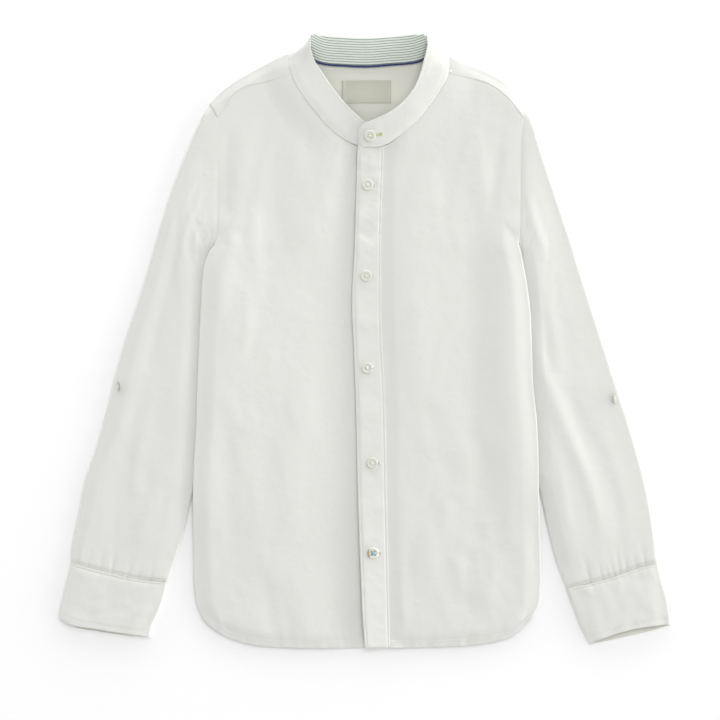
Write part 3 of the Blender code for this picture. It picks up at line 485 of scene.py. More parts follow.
# ---------------------------------------------------------------- the fronts
# Two single panels. The right one runs in under the placket and carries the buttons, and the
# left one is sewn to the placket. Each is sewn to the back at the side, to the yoke above and
# to the collar band, and its hem is turned up like the back's.
PRESSED = 1.0  # between the middles of two layers pressed together
LOFT = 2.0  # how much further than at the edges front and back stand apart
SIDE_ROUND, SHOULDER_ROUND, HEM_ROUND = 18.0, 12.0, 15.0  # widths over which they come to that
ARMPIT_Y, ARMPIT_FADE = 97.0, 26.0
FRONT_CRUMPLE = 0.16
SHOULDER = {
    "right": [(-155.5, 237.5), (-148.5, 245.5), (-134.5, 257.5), (-114.5, 269.5), (-92.5, 281.5),
              (-76, 289.5)],
    "left": [(162.5, 234.5), (150.5, 246), (142.5, 257), (122.5, 269.5), (93.5, 281.5),
             (83.5, 287)],
}
FRONT_YOKE_SEAM = {
    "right": [(-148.4, 224.5), (-124.5, 252.5), (-98.5, 259.5), (-73.5, 266.5)],
    "left": [(158.2, 224.5), (143.5, 243.5), (125.5, 257), (103.5, 263.5), (83.5, 268)],
}
PLACKET_FREE = [(0.5, -306), (-1.5, -282.5), (-3.5, -238.5), (-6.5, -158.5), (-8.5, -66.5),
                (-10.5, -12.5), (-12.5, 47.5), (-10.5, 83.5), (-8.5, 141.5), (-7, 194)]
PLACKET_STITCHED = [(25.5, -306), (24.5, -258.5), (22.5, -158.5), (20.5, -58.5), (17.5, 5.5),
                    (16.5, 71.5), (17.5, 141.5), (19.5, 194)]
FRONT_TOP_Y = 193.9
YOKE_LAP = 3.5  # how far the fronts run in under the yoke's turned edge
# Beside the placket, at each y: the width of the strip where the right front lies low, and the
# width over which it comes up from there.
GROOVE = [(-306, 12, 45), (-259, 13, 50), (-219, 15, 60), (-139, 13, 60), (-50, 6, 60),
          (0, 8, 60), (61, 7, 60), (101, 5, 50), (130, 3, 40), (194, 1, 20)]
SEWN = 2.95  # the left front's own gap to the back where the placket is stitched to it
SEWN_FADE = 14.0  # width beside that over which it comes to the gap of the rest
# How far the sleeve sinks to the armhole's seam, at each y, and the front's share of that.
ARMHOLE_DIP = {"right": [(97, 0.8), (140, 0.7), (165, 0.3), (195, 0.1), (238, 0.1)],
               "left": [(97, 1.2), (120, 1.3), (190, 1.3), (215, 0.8), (235, 0.3)]}
FRONT_DIP = {"right": 0.8, "left": 0.35}
UNDER_YOKE = 0.55  # how far the fronts sink where they run in under it
# The band's seam: x, y and z, then the same of its upper edge, from the buttonhole's end
# round the back of the neck to the button's end.
COLLAR = [
    (-7, 195.1, 5.7, -7, 211, 8.1), (4, 194.9, 5.7, -1.5, 217, 9.0),
    (15.5, 195.8, 5.7, 8, 221, 9.6), (41.5, 211.5, 6.7, 28.5, 231.5, 10.6),
    (66.5, 239.5, 7.0, 47.5, 250.5, 11.4), (82, 265.5, 6.9, 56.5, 270.5, 12.2),
    (84, 276.5, 5.9, 59.5, 282, 12.6), (81.5, 286, 3.8, 62.5, 295.5, 12.6),
    (70.5, 287, 1.6, 61, 304.5, 11.0), (52, 281.2, 1.4, 49, 306, 9.5),
    (25, 278.4, 1.4, 24, 303.3, 9.0), (3.5, 276.8, 1.4, 3.5, 302.5, 9.0),
    (-19, 277.5, 1.4, -18, 303.0, 9.0), (-45, 280.4, 1.4, -42, 305, 9.5),
    (-63, 288, 1.6, -53, 304.5, 11.0), (-73.5, 287, 4.4, -54, 295, 11.4),
    (-75, 277, 7.4, -50.5, 282, 9.4), (-71.5, 264, 8.2, -43, 270, 8.7),
    (-52.5, 234.5, 8.0, -27, 247.5, 8.5), (-30, 209.5, 6.2, -13, 231.5, 8.4),
    (-18, 201.5, 3.8, -6, 225, 7.8), (-7, 197, 2.75, -0.5, 220.5, 5.9),
    (3, 195.8, 2.75, 6, 217.5, 5.4), (14.5, 195.8, 2.75, 14.5, 216, 5.2),
]
NECK_SEAM = dense([row[:3] for row in COLLAR])
NECK_RISE = 32.0  # width over which the fronts and the yoke rise to the band
NECK_RAISED = 3.2  # height from which on they do so
NECK_SHIFT = 0.2  # from the band's seam out to the edges sewn to it
# Soft folds: x and y of one end, then of the other, half width, height, and how far its
# middle bows aside.
FRONT_FOLDS = [
    (-112, 225, -128, 110, 10, 0.9, 4), (-128, 110, -144, 20, 9, 0.9, 3),
    (-98, 196, -112, 70, 9, 0.6, 3), (-116, 60, -126, -30, 8, 0.5, -3),
    (-84, 190, -92, 60, 16, -0.6, 5), (-70, 226, -60, 150, 12, 0.5, 4),
    (-60, -20, -78, -190, 22, 0.7, 6), (-140, -60, -132, -200, 12, -0.7, 4),
    (-118, -110, -108, -240, 14, 0.5, -6), (-38, 150, -30, 20, 14, 0.6, 3),
    (-46, -190, -40, -286, 11, 0.6, -3),
    (-96, -230, -92, -292, 12, -0.5, 3), (-136, 214, -138, 120, 7, -0.6, 2),
    (50, 176, 56, -110, 27, 1.7, 3), (66, 176, 70, 60, 10, 0.3, -2),
    (114, 150, 119, -180, 18, -2.4, 2), (136, 196, 128, 130, 8, -0.7, 2),
    (112, 214, 118, 120, 8, 0.5, -3), (142, 118, 148, -150, 11, 0.3, 2),
    (88, -110, 96, -150, 13, -0.6, 4), (104, -96, 92, -160, 11, 0.6, -4),
    (120, -60, 132, -120, 10, 0.6, 5), (108, -165, 116, -205, 11, -0.6, 4),
    (74, -150, 80, -196, 9, 0.6, -4), (64, -170, 74, -260, 12, 0.7, 4),
    (96, -226, 108, -278, 12, -0.7, 5), (88, -210, 96, -262, 8, 0.6, -3),
    (132, -210, 126, -280, 10, 0.6, 4), (146, -90, 150, -220, 10, 0.7, 3),
    (40, -210, 44, -290, 8, 0.4, 2),
]


def folds(x, y, rows):
    """Height of soft folds: round each bowed line between two ends, a bell across it and half
    a sine along it, so that the fold dies away at both ends."""
    total = np.zeros(np.broadcast(x, y).shape)
    for x0, y0, x1, y1, half, high, bow in rows:
        run = np.array([x1 - x0, y1 - y0], float)
        size = np.linalg.norm(run)
        along = ((x - x0) * run[0] + (y - y0) * run[1]) / size ** 2
        share = np.clip(along, 0, 1)
        aside = ((x - x0) * run[1] - (y - y0) * run[0]) / size
        away = np.hypot(aside - bow * np.sin(math.pi * share), (along - share) * size)
        width = half * (0.75 + 0.25 * np.sin(math.pi * share))
        total = total + high * bell(away / width) * np.sin(math.pi * share) ** 0.7
    return total


def by_placket(x, y, apart):
    """The distance between front and back where the placket holds it: pressed together from
    the groove at its free edge on, and up to the placket's own level at its stitched edge."""
    levels, low, rise = zip(*GROOVE)
    before = x_at(PLACKET_FREE, y) - x
    after = x - x_at(PLACKET_STITCHED, y)
    sewn = blend(PRESSED, SEWN, ease(after + 1.2))
    before = np.maximum(before - np.interp(y, levels, low), 0) / np.interp(y, levels, rise)
    return blend(sewn, apart, ease(before) + ease((after - 0.5) / SEWN_FADE))


def front_apart(x, y):
    """From the back's middle surface up to that of the fronts, and of the yoke's front."""
    raised = ease((y - ARMPIT_Y) / ARMPIT_FADE)
    rim = np.ones(np.broadcast(x, y).shape)
    for side, sign in SIDES.items():
        inside = sign * (x_at(SIDE_SEAM[side], y) - x)
        rim = np.minimum(rim, np.maximum(ease(inside / SIDE_ROUND), raised))
    top = [*SHOULDER["right"], *SHOULDER["left"][::-1]]
    rim = np.minimum(rim, ease((np.interp(x, *zip(*top)) - y) / SHOULDER_ROUND))
    rim = np.minimum(rim, ease((y - y_at(HEM, x)) / HEM_ROUND))
    high = LOFT + folds(x, y, FRONT_FOLDS) + FRONT_CRUMPLE * crumple(x, y, 3)
    return by_placket(x, y, EDGE_GAP + rim * high)


def neck_line(start, end, shift):
    """The neck seam in plan between its points nearest to start and end, shifted outwards."""
    seam = NECK_SEAM[:, :2]
    run = np.gradient(seam, axis=0)
    line = seam + unit(np.stack([run[:, 1], -run[:, 0]], axis=1)) * shift
    first, last = (int(np.argmin(np.hypot(*(line - place).T))) for place in (start, end))
    return line[first:last + 1] if first < last else line[last:first + 1][::-1]


def to_band(x, y, z):
    """Heights that near the neck rise to the band's seam: each place eases, over the last
    few millimetres, to the height of the seam's nearest point."""
    seam = NECK_SEAM[::2]
    seam = seam[seam[:, 2] > NECK_RAISED]
    away = np.hypot(x[..., None] - seam[:, 0], y[..., None] - seam[:, 1])
    nearest = away.argmin(axis=-1)
    rise = np.maximum(seam[nearest, 2] - 0.1 - z, 0)
    beside = np.maximum(x_at(PLACKET_FREE, y) - x, x - x_at(PLACKET_STITCHED, y))
    rise = rise * ease((beside + 2) / 26)
    return z + rise * (1 - ease(away.min(axis=-1) / NECK_RISE))


FRONT_EVEN = np.linspace(0, 1, 96)[1:]
front_top = {
    "right": np.vstack([[(18, FRONT_TOP_Y), (-2, FRONT_TOP_Y)],
                        neck_line((-4, 196), FRONT_YOKE_SEAM["right"][-1], NECK_SHIFT)]),
    "left": np.vstack([neck_line(FRONT_YOKE_SEAM["left"][-1], (17, 196), NECK_SHIFT),
                       [(15, FRONT_TOP_Y + 1.2), (10, FRONT_TOP_Y + 1.2)]]),
}
# The last columns of each front lie a little before and past a line beside the placket.
front_inner = {"right": lambda y: x_at(PLACKET_FREE, y),
               "left": lambda y: x_at(PLACKET_STITCHED, y) + 1.0}
front_past = {"right": np.array([1, 3, 6, 9, 12, 16, 21]),
              "left": np.array([-0.5, -0.9, -1.3, -1.7, -2.2, -3.2, -4.5, -6])}
for side, sign in SIDES.items():
    line = np.vstack([dense(FRONT_YOKE_SEAM[side]) + (0, YOKE_LAP), front_top[side]])
    line = line[np.argsort(line[:, 0])]
    past = front_past[side]
    shift = np.concatenate([NEAR_EDGE, np.full(len(FRONT_EVEN), NEAR_EDGE[-1]), past * 0])
    columns = (-sign * shift, np.concatenate([shift * 0, past])[len(past):],
               np.concatenate([NEAR_EDGE * 0, FRONT_EVEN, past * 0 + 1]))
    x, y = panel(columns, np.linspace(0, 1, 210)[1:], lambda y: side_line(side, y),
                 front_inner[side], lambda x: y_at(HEM, x),
                 lambda x: np.interp(x, line[:, 0], line[:, 1]))
    from_side = sign * (side_line(side, y) - x)
    at_armhole = ease((y - ARMPIT_Y) / 12)
    z = BACK_Z + lift(x, y, FRONT_LIFT) + front_apart(x, y)
    z -= edge_dip(from_side, EDGE_GAP / 2, EDGE_ROLL) * (1 - at_armhole)
    dip = np.interp(y, *zip(*ARMHOLE_DIP[side]))
    z -= dip * FRONT_DIP[side] * np.exp(-from_side / 5) * at_armhole
    under = ease((y - y_at(FRONT_YOKE_SEAM[side], x) + 1.5) / 3) * (sign * x > 70)
    z -= UNDER_YOKE * under
    z += hem_swell(y - y_at(HEM, x), x, 8 + sign)
    points = np.dstack([x, y, to_band(x, y, z)])
    front = cloth("front_panel_" + side, points, [WHITE, INSIDE_PAINTED_SHADE], "front_" + side,
                  turned=sign > 0)
    seams.append((points[HEM_ROW], normals(points)[HEM_ROW] * sign * -1))

# ---------------------------------------------------------------- the yoke
# One piece of the same cotton across the upper back, folded over both shoulders to the front
# seams, where its turned edge is top-stitched over the fronts.
NECK_COLUMNS, STRAP_COLUMNS = 46, 44
YOKE_FOLD = EDGE_GAP / 2
YOKE_EDGE, YOKE_GROOVE = 0.15, 0.1  # how much its turned edge is raised, and its sewing sunk
NECK_BOW = 3.4
YOKE_CRUMPLE = 0.12
STRAP_ALONG = np.append(np.linspace(0, 1, 26)[:-1] ** 1.1, [0.985, 1.0])


def patch(low, high, start, end, across, along):
    """Points [row][column] inside four edges: the blend between the ends plus the blend
    between the rows, less the blend of the corners that both have counted."""
    u, v = np.asarray(across)[None, :, None], np.asarray(along)[:, None, None]
    corners = blend(blend(start[0], end[0], u), blend(start[-1], end[-1], u), v)
    return blend(start[:, None], end[:, None], u) + blend(low[None], high[None], v) - corners


def neck_bow(x, y):
    """How far the yoke bows up where the neck is open: the product of two bells."""
    return NECK_BOW * bell((y - 241) / 17) * bell((x - 2) / 40)


strap = {}
across = np.linspace(0, 1, STRAP_COLUMNS)
for side in SIDES:
    low = smooth(FRONT_YOKE_SEAM[side], across)
    high = smooth(SHOULDER[side], across) - (0, CLOTH / 2)
    hole = dense(ARMHOLE[side])
    hole = on_line(hole[hole[:, 1] >= low[0, 1] - 0.5][::-1], STRAP_ALONG)
    by_neck = neck_line(high[-1], low[-1], NECK_SHIFT)
    clear = (np.hypot(*(by_neck - high[-1]).T) > 2) & (np.hypot(*(by_neck - low[-1]).T) > 2)
    by_neck = on_line(np.vstack([high[-1:], by_neck[clear], low[-1:]]), STRAP_ALONG)
    strap[side] = patch(high, low, hole, by_neck, across, STRAP_ALONG)
neck = neck_line(strap["right"][0, -1], strap["left"][0, -1], -NECK_SHIFT)
neck = on_line(neck, np.linspace(0, 1, NECK_COLUMNS + 2))[1:-1]
back_top = np.vstack([strap["right"][0], neck, strap["left"][0, ::-1]])
back_along = np.linspace(0, 1, 30)
hole = {}
for side in SIDES:
    line = dense(ARMHOLE[side])
    line = np.vstack([[(x_at(ARMHOLE[side], BACK_YOKE_Y), BACK_YOKE_Y + 0.1)],
                      line[line[:, 1] > BACK_YOKE_Y + 0.2]])
    hole[side] = on_line(line, back_along)
hole["right"][-1], hole["left"][-1] = back_top[0], back_top[-1]
across = (back_top[:, 0] - back_top[0, 0]) / (back_top[-1, 0] - back_top[0, 0])
back_low = blend(hole["right"][0], hole["left"][0], across[:, None])
back_plan = patch(back_low, back_top, hole["right"], hole["left"], across, back_along)
from_edge = np.minimum(back_top[:, 0] - back_top[0, 0], back_top[-1, 0] - back_top[:, 0])
slant = 0.62 * np.clip(1 - from_edge / 12, 0, 1)
roll = YOKE_FOLD * np.stack([-slant * np.sign(back_top[:, 0]), -np.ones(len(back_top))], axis=1)
roll[STRAP_COLUMNS:-STRAP_COLUMNS] = 0
x, y = back_plan[:-1, :, 0], back_plan[:-1, :, 1]
z = BACK_Z + YOKE_CRUMPLE * np.abs(crumple(x, y, 12)) * ease((y - 204) / 8) + neck_bow(x, y)
rows = [np.dstack([x, y, z])]
for angle in np.linspace(-math.pi / 2, math.pi / 2, 8)[:-1]:
    row = back_plan[-1] + roll * (1 - math.cos(angle))
    high = np.full((len(row), 1), BACK_Z + YOKE_FOLD * (1 + math.sin(angle)))
    rows.append(np.concatenate([row, high], axis=1)[None])
blank = np.zeros((NECK_COLUMNS, 2))
for k, share in enumerate(STRAP_ALONG):
    row = np.vstack([strap["right"][k], blank, strap["left"][k, ::-1]])
    row += roll * (1 - share) ** 4
    high = BACK_Z + front_apart(row[:, 0], row[:, 1])
    high += YOKE_EDGE * ease((share - 0.75) / 0.2) - YOKE_GROOVE * bell((share - 0.93) / 0.03)
    high = to_band(row[:, 0], row[:, 1], high)
    rows.append(np.concatenate([row, high[:, None]], axis=1)[None])
points = np.vstack(rows)
columns = points.shape[1]
skip = np.zeros((len(points) - 1, columns - 1), bool)
skip[len(back_plan) - 1:, STRAP_COLUMNS - 1:columns - STRAP_COLUMNS] = True
yoke = cloth("yoke_piece", points, [WHITE, INSIDE_PAINTED_SHADE], "yoke", skip=skip,
             turned=True)
for part in (slice(0, STRAP_COLUMNS), slice(columns - STRAP_COLUMNS, columns)):
    seams.append((points[-3, part], normals(points[:, part])[-3] * -1))

# ---------------------------------------------------------------- the sleeves
# Each is one panel sewn into a long tube, set into the armhole and pressed flat along its inner
# and outer folds. It is drawn in with small pleats where its cuff is sewn on.
SLEEVE_OUTER = {
    "right": [(-155.5, 237.5), (-158.5, 233.5), (-170.5, 209.5), (-185.5, 173.5), (-198.5, 137.5),
              (-219.5, 65.5), (-243.5, -8.5), (-268.5, -102.5), (-280.5, -138.5), (-287.5, -174.5),
              (-292.5, -198.5), (-294.5, -221.5)],
    "left": [(162.5, 234.5), (167.5, 221.5), (178.5, 185.5), (202.5, 113.5), (225.5, 41.5),
             (248.5, -30.5), (274.5, -114.5), (283.5, -150.5), (289.5, -186.5), (294, -222.5)],
}
CUFF_SEAM = {
    "right": [(-294.5, -221.5), (-264.5, -229.5), (-229.5, -237.5), (-197, -241.5)],
    "left": [(294, -222.5), (278.5, -225.5), (255.5, -233.5), (235.5, -239.5), (202, -247.5)],
}
SLEEVE_LOFT = {"right": 2.0, "left": 3.2}
SLEEVE_CRUMPLE = 0.13
SLEEVE_ROUND = {"right": (13.0, 20.0), "left": (70.0, 14.0)}  # at the outer and the inner fold
SLEEVE_BESIDE = {"right": (-5.0, 26.0), "left": (-8.0, 22.0)}  # from the body's edge: low, rising
SLEEVE_OUTER_GAP, SLEEVE_INNER_GAP = 2.6, 1.95
SLEEVE_WIDE, SLEEVE_LONG = 100.0, 490.0
SLEEVE_CAP = (0.30, 0.27, 0.05)  # the cap's share of the rows, and of each fold's length
ARMHOLE_BLEND = 0.25
ARMHOLE_SHIFT, ARMHOLE_SHARE = 0.06, 0.992  # its seam: outwards in mm, and how much is used
FOLD_SHARE, FOLD_INSET = 0.022, 0.0055
FOLD_TURNS = 9  # points round a fold's half circle
CUFF_LOFT_NEAR, CUFF_LOFT_FAR = 0.7, 60.0  # a sleeve's loft at its cuff, and where it ends
BUNCHED = 0.6  # how much thicker the pleats make the sleeve's end
DRAWN_IN = 0.9  # how much the seam itself draws it in
# Down the sleeve (0 to 1) and across it (0 at the outer fold) at one end, then at the other,
# half width, height and bow in mm.
SLEEVE_FOLDS = {
    "right": [(0.05, 0.45, 0.40, 0.42, 11, 0.9, 4), (0.35, 0.60, 0.70, 0.52, 12, 0.8, -4),
              (0.30, 0.30, 0.62, 0.26, 9, -0.8, 3), (0.74, 0.72, 0.96, 0.62, 9, 0.8, 3),
              (0.72, 0.30, 0.95, 0.34, 10, -0.7, -3), (0.02, 0.80, 0.16, 0.70, 8, -0.7, 2),
              (0.50, 0.18, 0.80, 0.16, 7, 0.6, 2), (0.10, 0.22, 0.28, 0.20, 8, 0.5, -2),
              (0.62, 0.40, 0.84, 0.46, 8, 0.6, 4), (0.20, 0.62, 0.34, 0.70, 7, 0.5, 2)],
    "left": [(0.04, 0.50, 0.34, 0.46, 11, 0.9, -4), (0.44, 0.74, 0.93, 0.50, 8, 1.1, 5),
             (0.38, 0.34, 0.66, 0.40, 10, -0.8, 3), (0.70, 0.74, 0.97, 0.80, 8, 0.8, -3),
             (0.74, 0.30, 0.97, 0.36, 8, -0.9, 3), (0.02, 0.82, 0.16, 0.72, 8, -0.7, 2),
             (0.56, 0.50, 0.90, 0.36, 9, -0.9, 4), (0.60, 0.20, 0.92, 0.20, 8, 0.7, -3),
             (0.12, 0.24, 0.30, 0.20, 8, 0.5, 2), (0.40, 0.56, 0.58, 0.60, 7, -0.6, 2)],
}
GATHERS = {  # places of the pleats across the sleeve, from the outer fold on
    "right": (0.07, 0.18, 0.31, 0.43, 0.59, 0.69, 0.82),
    "left": (0.14, 0.23, 0.34, 0.42, 0.48, 0.54, 0.61, 0.74),
}


def flat_loop(top, under):
    """Once round a flattened tube: the place across it, and the level, 1 on top to -1 below.
    The two folds between are half circles."""
    turn = np.linspace(math.pi / 2, -math.pi / 2, FOLD_TURNS)[1:-1]
    across = np.concatenate([top, 1 - FOLD_SHARE * (1 - np.cos(turn)), under,
                             FOLD_SHARE * (1 - np.cos(turn))])
    across = FOLD_INSET + across * (1 - 2 * FOLD_INSET)
    level = np.concatenate([np.ones(len(top)), np.sin(turn), -np.ones(len(under)),
                            -np.sin(turn)])
    return across, level


def pleats(side, across, to_cuff):
    """Small pleats at a cuff's seam: a bell across each, of its own depth and length."""
    total = np.zeros(across.shape)
    for k, place in enumerate(GATHERS[side]):
        long = 11 + 12 * math.sin(2.3 * k + 1) ** 2
        drift = 0.03 * math.sin(1.7 * k) * np.clip(to_cuff / 40, 0, 1)
        valley = bell((across - place - drift) * SLEEVE_WIDE / (1.7 + to_cuff / 14))
        total -= (0.5 + 0.3 * math.sin(3.1 * k)) * valley * bell(to_cuff / long)
    return total


def sleeve_apart(side, across, along, plan):
    """Distance between a sleeve's two middle surfaces: its folds' own gap, its loft away from
    them and from the body's edge, soft folds, and pleats at the cuff."""
    outer, inner = SLEEVE_ROUND[side]
    own = np.minimum(across, 1 - across) * SLEEVE_WIDE
    x, y = plan[..., 0], plan[..., 1]
    low, rise = SLEEVE_BESIDE[side]
    covered = (SIDES[side] * (x - x_at(SIDE_SEAM[side], y)) - low) / rise
    covered = blend(covered, 1, ease((y - ARMPIT_Y + 14) / 30))
    rim = np.minimum(ease(across * SLEEVE_WIDE / outer), ease((1 - across) * SLEEVE_WIDE / inner))
    rim = np.minimum(rim, ease(covered))
    edge = blend(SLEEVE_OUTER_GAP, SLEEVE_INNER_GAP, ease(across))
    rows = [(a * SLEEVE_LONG, b * SLEEVE_WIDE, c * SLEEVE_LONG, d * SLEEVE_WIDE, *rest)
            for a, b, c, d, *rest in SLEEVE_FOLDS[side]]
    soft = folds(along * SLEEVE_LONG, across * SLEEVE_WIDE, rows)
    soft = soft + SLEEVE_CRUMPLE * crumple(along * SLEEVE_LONG * 0.7, across * SLEEVE_WIDE, 21,
                                           drawn=1.0)
    to_cuff = (1 - along) * SLEEVE_LONG
    loft = blend(CUFF_LOFT_NEAR, SLEEVE_LOFT[side], ease(to_cuff / CUFF_LOFT_FAR))
    bunched = BUNCHED * bell(to_cuff / 26) + pleats(side, across, to_cuff)
    bunched = bunched - DRAWN_IN * bell((to_cuff - 1.2) / 2)
    return edge + rim * (loft + soft) + bunched * ease(own / 5)


SLEEVE_TOP = np.linspace(FOLD_SHARE, 1 - FOLD_SHARE, 84)
SLEEVE_UNDER = np.linspace(1 - FOLD_SHARE, FOLD_SHARE, 20)
SLEEVE_ALONG = 1 - np.linspace(1, 0, 215) ** 1.12
SLEEVE_ALONG = np.insert(SLEEVE_ALONG, 1, 0.0008)  # a narrow row keeps the rim's edge crisp
for side, sign in SIDES.items():
    across, level = flat_loop(SLEEVE_TOP, SLEEVE_UNDER)
    cap, cap_outer, cap_inner = SLEEVE_CAP
    outer = smooth(SLEEVE_OUTER[side], np.interp(SLEEVE_ALONG, (0, cap, 1), (0, cap_outer, 1)))
    inner = smooth(SLEEVE_INNER[side], np.interp(SLEEVE_ALONG, (0, cap, 1), (0, cap_inner, 1)))
    hole = dense(ARMHOLE[side])[::-1] + (sign * ARMHOLE_SHIFT, 0)
    hole = on_line(hole, across * ARMHOLE_SHARE)
    plan = patch(hole, smooth(CUFF_SEAM[side], across), outer, inner, across, SLEEVE_ALONG)
    along, over = np.meshgrid(SLEEVE_ALONG, across, indexing="ij")
    hung = 1 - ease(along / ARMHOLE_BLEND)
    below = BACK_Z + lift(plan[..., 0], plan[..., 1], BACK_LIFT) * hung
    apart = blend(sleeve_apart(side, over, along, plan),
                  front_apart(plan[..., 0], plan[..., 1]), hung)
    from_hole = np.linalg.norm(plan - plan[:1], axis=2)
    dip = np.interp(plan[..., 1], *zip(*ARMHOLE_DIP[side]))
    start = blend(FRONT_DIP[side], 1, ease(from_hole / 3))
    apart -= dip * start * np.exp(-from_hole / 7)
    level = np.broadcast_to(level, apart.shape)
    points = np.dstack([plan, below + apart * (level + 1) / 2])
    sleeve = cloth("sleeve_tube_" + side, points, [WHITE, INSIDE_PAINTED_SHADE], "sleeve_" + side,
                   ring=True, turned=sign < 0)

# ---------------------------------------------------------------- the cuffs
# Each is two layers of the cotton with a stiffening between them, sewn over the sleeve's
# pleated end and top-stitched along both edges. It is a closed round, pressed flat.
CUFF = 1.5  # thickness of its wall
CUFF_OUTER = {
    "right": [(-294.5, -221.5), (-297.5, -234.5), (-303.5, -258.5), (-306.5, -275.5)],
    "left": [(294, -222.5), (296.5, -234.5), (303.5, -258.5), (306.5, -283.5)],
}
CUFF_INNER = {
    "right": [(-197, -241.5), (-205.5, -270.5), (-211.5, -282.5), (-214.5, -295.5)],
    "left": [(202, -247.5), (206.5, -258.5), (215.5, -282.5), (225.5, -302.5)],
}
CUFF_EDGE = {
    "right": [(-306.5, -275.5), (-297.5, -282.5), (-264.5, -290.5), (-234.5, -294.5),
              (-214.5, -295.5)],
    "left": [(306.5, -283.5), (290.5, -288.5), (260.5, -295.5), (235.5, -301), (225.5, -302.5)],
}
CUFF_ARCH = {"right": 2.5, "left": 6.0}  # how far the upper layer's edge bows back
CUFF_LONG = 56.0
CUFF_GAP, CUFF_LOFT = 2.7, 1.0
CUFF_CLEAR = 0.15  # between a cuff and the table
CUFF_ROWS = (2.4, 51.5)  # the stitching's distances from the seam
CUFF_GROOVES = (0.3, 0.25)  # and how deep the cloth is drawn in there
CUFF_CRUMPLE, CUFF_PLEATS = 0.2, 0.55
CUFF_ALONG = np.unique(np.concatenate([[0, 0.006, 0.02, 0.035, 0.05, 0.965, 0.98, 0.994, 1.0],
                                       np.linspace(0, 1, 34)]))
cuff_seams = []
for side, sign in SIDES.items():
    across, level = flat_loop(SLEEVE_TOP, SLEEVE_UNDER)
    plan = patch(smooth(CUFF_SEAM[side], across), smooth(CUFF_EDGE[side], across),
                 smooth(CUFF_OUTER[side], CUFF_ALONG), smooth(CUFF_INNER[side], CUFF_ALONG),
                 across, CUFF_ALONG)
    along = CUFF_ALONG[:, None]
    arch = CUFF_ARCH[side] * np.sin(math.pi * across) ** 0.7 * np.clip(level, 0, 1)
    plan[..., 1] += arch[None] * along ** 2
    over, long = np.meshgrid(across, CUFF_ALONG * CUFF_LONG)
    rim = ease(np.minimum(across, 1 - across) * SLEEVE_WIDE / 20)
    top = np.clip(level, 0, 1)[None]
    apart = CUFF_GAP + CUFF_LOFT * rim * blend(1, 1.25, along)
    soft = CUFF_CRUMPLE * crumple(over * SLEEVE_WIDE, long, 31 + sign, 46.0, 14.0, 1.0)
    soft += CUFF_PLEATS * pleats(side, over, long * 2.6)
    for at, deep, half in zip(CUFF_ROWS, CUFF_GROOVES, (0.9, 1.0)):
        soft -= deep * bell((long - at) / half)
    apart = apart + soft * top * ease(rim * 3)
    points = np.dstack([plan, CUFF / 2 + CUFF_CLEAR + apart * (level + 1) / 2])
    cuff = cloth("cuff_round_" + side, points, [WHITE, INSIDE_PAINTED_SHADE], "cuff_" + side,
                 thick=CUFF, ring=True, turned=sign < 0)
    layer = points[:, :len(SLEEVE_TOP)]
    for at in CUFF_ROWS:
        row = nearest_row(CUFF_ALONG * CUFF_LONG, at)
        cuff_seams.append((layer[row], upwards(layer)[row]))

# ---------------------------------------------------------------- the placket
# A strip of the cotton folded round a stiffening and stitched down the left front, with a row
# of top-stitching near each edge. Its free edge lies over the right front.
PLACKET = 1.2  # thickness of its wall
PLACKET_Z = 3.75  # at its stitched edge
PLACKET_PROUD = (1.0, 2.9)  # how much higher its free side stands, above and at the hem
PLACKET_CURL = (0.8, 0.3)  # how far the free edge curls down there on to the right front
CURL_WIDE = 2.4
PLACKET_RIPPLES = [  # y of the middle, half width, height
    (182, 7, 0.5), (128, 8, 0.6), (98, 6, 0.5), (20, 9, 0.35), (-70, 9, 0.3), (-165, 8, 0.35),
]
PLACKET_WIDE = 26.0
EDGE_ROW, EDGE_ROW_COLUMN = 2.2, 6  # the stitching's distance from the edge, and its column
PLACKET_GROOVE, PLACKET_CRUMPLE = 0.28, 0.16
PLACKET_TURNED, PLACKET_LESS = 0.4, 0.3  # how far its free edge rolls over, and the other's share
levels = np.linspace(-306, 196.6, 290)
free = x_at(PLACKET_FREE, levels)
stitched = x_at(PLACKET_STITCHED, levels)
across = np.array([0, 0.2, 0.5, 0.9, 1.3, 1.7, EDGE_ROW, 2.7, 3.2, 4.0, 5.5]) / PLACKET_WIDE
across = np.concatenate([across, np.linspace(0.25, 0.75, 13), 1 - across[::-1]])
x = blend(free[:, None], stitched[:, None], across)
y = np.repeat(levels[:, None], len(across), axis=1)
inward = np.minimum(across, 1 - across) * PLACKET_WIDE
ripple = sum(high * bell((y - place) / half) for place, half, high in PLACKET_RIPPLES)
loose = ease((-80 - y) / 200)
z = PLACKET_Z + blend(*PLACKET_PROUD, loose) * (1 - across)
z += ripple * (1 - 0.5 * across)
z += PLACKET_CRUMPLE * crumple(x, y, 41, 40.0, 9.0, 1.2) * (0.5 + 0.9 * ease((y - 60) / 50))
z -= edge_dip(inward, 1.0, PLACKET_TURNED) * np.where(across > 0.5, PLACKET_LESS, 1.0)
z -= PLACKET_GROOVE * bell((inward - EDGE_ROW) / 0.7)
z -= blend(*PLACKET_CURL, loose) * bell(across * PLACKET_WIDE / CURL_WIDE)
points = np.dstack([x, y, z])
placket = cloth("placket_strip", points, [WHITE, INSIDE_PAINTED_SHADE], "placket", thick=PLACKET)
placket_points, placket_up = points, upwards(points)
placket_seams = [(points[:, k], placket_up[:, k]) for k in (EDGE_ROW_COLUMN,
                                                           len(across) - 1 - EDGE_ROW_COLUMN)]

